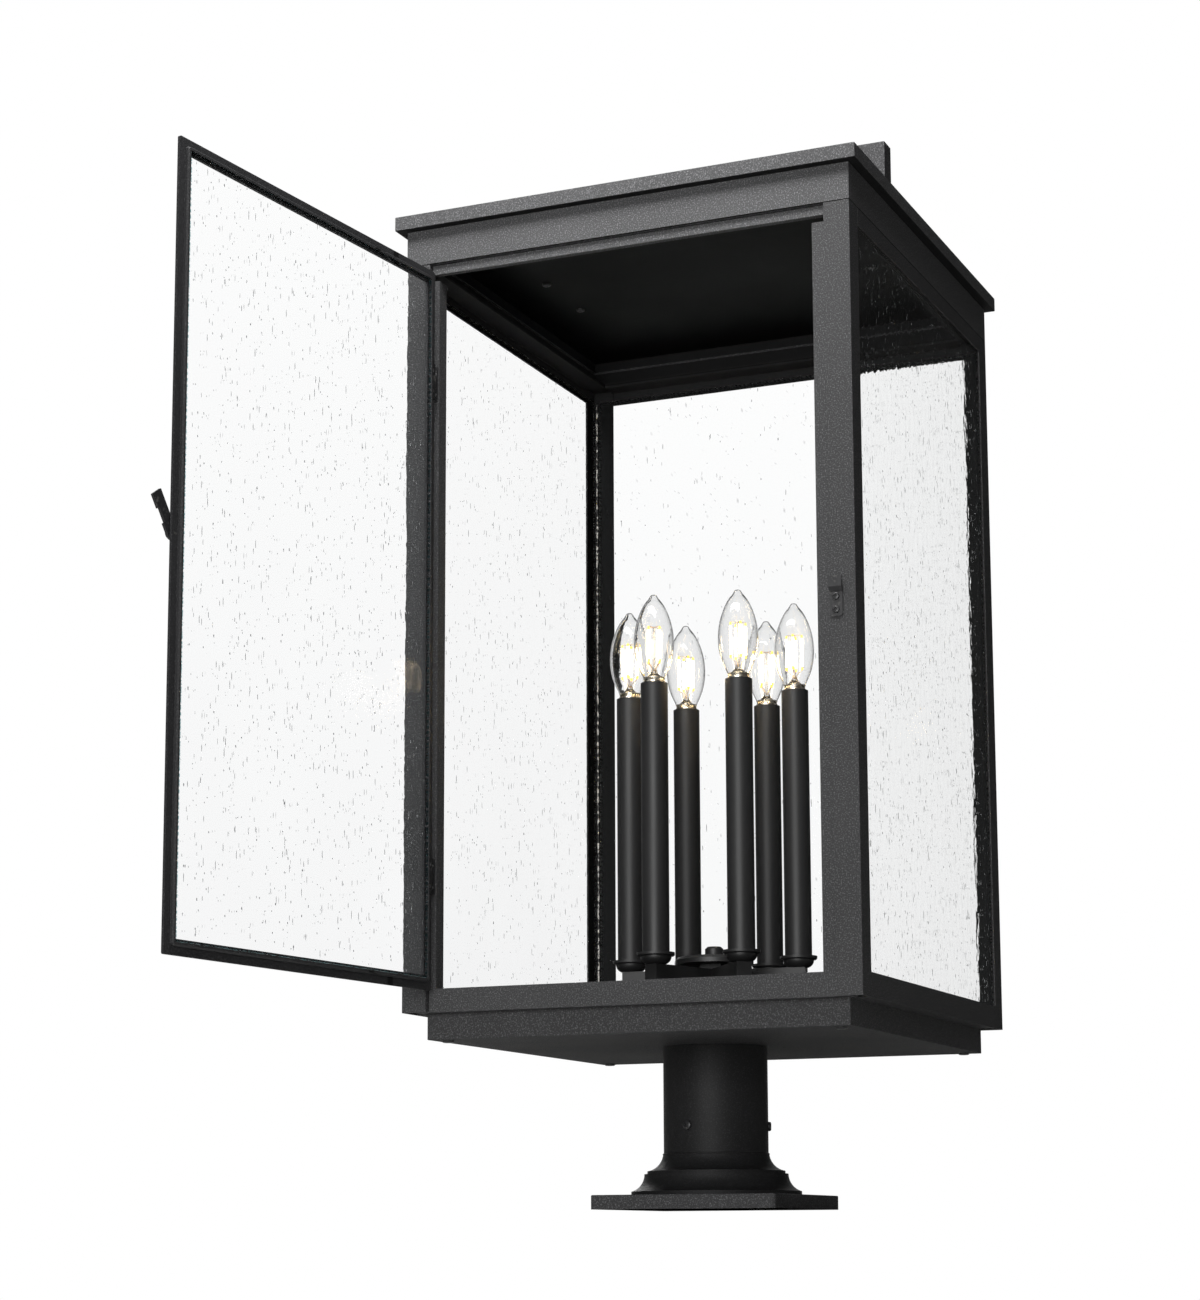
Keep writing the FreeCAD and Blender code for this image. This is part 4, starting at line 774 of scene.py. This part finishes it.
def add_wire(bm, start, end, radius):
    """Round wire between two points."""
    along = end - start
    spin = Vector((0, 0, 1)).rotation_difference(along.normalized()).to_matrix().to_4x4()
    made = bmesh.ops.create_cone(bm, cap_ends=True, segments=wire_sides, radius1=radius,
                                 radius2=radius, depth=along.length)
    bmesh.ops.transform(bm, matrix=Matrix.Translation((start + end) / 2) @ spin,
                        verts=made["verts"])


bm = bmesh.new()
top_level = filament_high[2] + 0.0003
for centre in centres:
    turn = math.atan2(centre.y, centre.x)
    spots = [centre + Vector((filament_ring * math.cos(turn + math.pi / 2 * quarter),
                              filament_ring * math.sin(turn + math.pi / 2 * quarter), 0))
             for quarter in range(4)]
    hub = centre + Vector((0, 0, stem_top - 0.0002))
    for quarter, spot in enumerate(spots):
        tip = Vector((spot.x, spot.y, top_level))
        add_wire(bm, hub, tip, cross_wire)
        add_wire(bm, tip, tip - Vector((0, 0, clamp_length)), clamp_wire)
        foot = Vector((spot.x, spot.y, filament_low[2]))
        knee = centre + (spot - centre) * knee_share
        knee.z = filament_low[2] - knee_drop
        root = centre + (spot - centre) * root_shares[quarter % 2]
        root.z = glass_foot + root_rise
        add_wire(bm, foot, knee, lead_wire)
        add_wire(bm, knee, root, lead_wire)
bronze, tree, shader = start_material("bronze lead wire")
where = add(tree, "ShaderNodeTexCoord").outputs["Object"]
scorched = noise(tree, where, 700.0, 2.0)
tree.links.new(blend_colours(tree, ramp_between(tree, scorched, 0.35, 0.65), (0.42, 0.27, 0.13),
                             (0.72, 0.55, 0.32)), shader.inputs["Base Color"])
tree.links.new(ramp_between(tree, scorched, 0.3, 0.7, 0.25, 0.45), shader.inputs["Roughness"])
shader.inputs["Metallic"].default_value = 1.0
wires = keep_mesh(bm, "bulb_lead_wires", bronze)
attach(wires, "lantern")
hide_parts("bulb_stems")

bm = bmesh.new()
for centre in centres:
    spun(bm, [(0.0, glass_foot), (0.0075, glass_foot), (0.0062, glass_foot + 0.0012),
              (0.0034, glass_foot + 0.0038), (0.0024, glass_foot + 0.0066),
              (0.0008, glass_foot + 0.0095), (0.0007, stem_top - 0.001), (0.0, stem_top - 0.0006)],
         steps=24, centre=centre)
mounts = keep_mesh(bm, "bulb_glass_mounts", blown_glass("clear drawn rod", (0.8, 0.8, 0.8)), 60)
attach(mounts, "lantern")
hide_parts("bulb_stems")

# ---------------------------------------------------------------------------------------------
# Filaments: four upright glowing strips in each bulb, white hot in the middle, with a short
# yellow cap of bare phosphor at each end.
# ---------------------------------------------------------------------------------------------
glow, tree, shader = start_material("glowing filament")
where = add(tree, "ShaderNodeTexCoord").outputs["Object"]
split = add(tree, "ShaderNodeSeparateXYZ")
tree.links.new(where, split.inputs["Vector"])
middle = (filament_low[2] + filament_high[2]) / 2
half_length = (filament_high[2] - filament_low[2]) / 2
from_middle = maths(tree, "ABSOLUTE", maths(tree, "SUBTRACT", split.outputs["Z"], middle))
end_share = ramp_between(tree, from_middle, half_length - 0.0034, half_length - 0.0026)
tree.links.new(blend_colours(tree, end_share, (1.0, 0.78, 0.48), (0.075, 0.045, 0.004)),
               shader.inputs["Emission Color"])
tree.links.new(blend_colours(tree, end_share, (0.9, 0.8, 0.5), (0.85, 0.6, 0.1)),
               shader.inputs["Base Color"])
shader.inputs["Emission Strength"].default_value = 20.0
shader.inputs["Roughness"].default_value = 0.6
finish_nodes(glow, "led_filaments")

# ---------------------------------------------------------------------------------------------
# Floor, light, camera. The photograph looks up from below the plate's level, so the pale floor
# under the plate is seen through from beneath and stays white; from above it shows its shadow.
# Reflections see one bright sweep in a dark studio; the camera sees white, also through glass.
# ---------------------------------------------------------------------------------------------
FLOOR_HALF = 6.0
FLOOR_SHADE, FLOOR_SEEN = (0.62, 0.62, 0.61), (0.5, 0.5, 0.5)
SWEEP_BEARING = (-0.40, 0.90, 0.15)
STUDIO_DARK, AWAY_FROM_SWEEP = 0.03, 0.02
bm = bmesh.new()
bmesh.ops.create_grid(bm, x_segments=1, y_segments=1, size=FLOOR_HALF)
mesh = bpy.data.meshes.new("floor")
bm.to_mesh(mesh)
bm.free()
floor = bpy.data.objects.new("floor", mesh)
bpy.context.scene.collection.objects.link(floor)
pale, tree, shader = start_material("pale floor")


def camera_rays(tree, path):
    """1 for rays from the camera, straight or through glass, 0 once they have bounced."""
    bounced = maths(tree, "ADD", path.outputs["Diffuse Depth"], path.outputs["Glossy Depth"])
    through_glass = maths(tree, "MULTIPLY", path.outputs["Is Transmission Ray"],
                          maths(tree, "LESS_THAN", bounced, 0.5))
    return maths(tree, "MAXIMUM", path.outputs["Is Camera Ray"], through_glass)


path = add(tree, "ShaderNodeLightPath")
tree.links.new(blend_colours(tree, path.outputs["Is Camera Ray"], FLOOR_SHADE, FLOOR_SEEN),
               shader.inputs["Base Color"])
tree.links.new(blend_colours(tree, camera_rays(tree, path), (0.0, 0.0, 0.0), FLOOR_SEEN),
               shader.inputs["Emission Color"])
shader.inputs["Emission Strength"].default_value = 1.0
shader.inputs["Roughness"].default_value = 0.9
shader.inputs["Specular IOR Level"].default_value = 0.0
under = add(tree, "ShaderNodeNewGeometry")
open_side = add(tree, "ShaderNodeBsdfTransparent")
either = add(tree, "ShaderNodeMixShader")
tree.links.new(under.outputs["Backfacing"], either.inputs[0])
tree.links.new(shader.outputs[0], either.inputs[1])
tree.links.new(open_side.outputs[0], either.inputs[2])
tree.links.new(either.outputs[0], tree.nodes["Material Output"].inputs["Surface"])
floor.data.materials.append(pale)

world = bpy.data.worlds.new("studio")
bpy.context.scene.world = world
world.use_nodes = True
tree = world.node_tree
background = tree.nodes["Background"]
path = add(tree, "ShaderNodeLightPath")
reflected = maths(tree, "MINIMUM", maths(tree, "MAXIMUM", path.outputs["Is Glossy Ray"],
                                         path.outputs["Glossy Depth"]), 1.0)
bearing = add(tree, "ShaderNodeVectorMath", operation="DOT_PRODUCT")
tree.links.new(add(tree, "ShaderNodeTexCoord").outputs["Generated"], bearing.inputs[0])
bearing.inputs[1].default_value = SWEEP_BEARING
towards_sweep = ramp_between(tree, bearing.outputs["Value"], 0.86, 0.97, AWAY_FROM_SWEEP)
sweep = maths(tree, "MULTIPLY", towards_sweep, reflected)
lit = maths(tree, "MAXIMUM", camera_rays(tree, path), sweep)
tree.links.new(maths(tree, "MAXIMUM", lit, STUDIO_DARK), background.inputs["Strength"])
background.inputs["Color"].default_value = (1.0, 1.0, 1.0, 1.0)


def add_softbox(name, place, target, width, height, power):
    """Rectangular lamp that lights the part but is seen neither straight nor through glass."""
    lamp = bpy.data.lights.new(name, "AREA")
    lamp.shape = "RECTANGLE"
    lamp.size = width
    lamp.size_y = height
    lamp.energy = power
    made = bpy.data.objects.new(name, lamp)
    made.location = place
    made.rotation_mode = "QUATERNION"
    made.rotation_quaternion = (Vector(target) - Vector(place)).to_track_quat("-Z", "Y")
    made.visible_camera = False
    made.visible_transmission = False
    bpy.context.scene.collection.objects.link(made)


add_softbox("key_softbox", (0.35, -3.0, 0.5), (0.0, 0.0, 0.4), width=1.6, height=0.9, power=57.0)
add_softbox("top_softbox", (-0.05, -0.6, 1.4), (0.0, -0.1, 0.85), width=1.0, height=0.3, power=18.0)
add_softbox("back_softbox", (-1.6, 2.2, 1.6), (0.0, 0.0, 0.5), width=1.2, height=1.2, power=30.0)
add_softbox("side_softbox", (2.6, -0.3, 1.5), (0.0, 0.0, 0.5), width=1.2, height=1.2, power=0.9)

camera = bpy.data.cameras.new("camera")
camera.sensor_width = 36.0
focal_pixels, photo_pixels = 2800.8, 1300.0
camera.lens = focal_pixels * camera.sensor_width / photo_pixels
camera.shift_y = 0.12
camera.clip_start = 0.05
holder = bpy.data.objects.new("camera", camera)
yaw, pitch, roll = (math.radians(angle) for angle in (23.496, 8.881, -0.2))
ahead = Vector((-math.sin(yaw) * math.cos(pitch), math.cos(yaw) * math.cos(pitch), math.sin(pitch)))
right = Vector((math.cos(yaw), math.sin(yaw), 0.0))
up = right.cross(ahead)
tilted_right = right * math.cos(roll) + up * math.sin(roll)
tilted_up = up * math.cos(roll) - right * math.sin(roll)
standpoint = (0.87348, -2.25647, -0.02837)
turned = Matrix((tilted_right, tilted_up, -ahead)).transposed().to_4x4()
holder.matrix_world = Matrix.Translation(standpoint) @ turned
bpy.context.scene.collection.objects.link(holder)
bpy.context.scene.camera = holder
bpy.context.scene.view_settings.view_transform = "Standard"
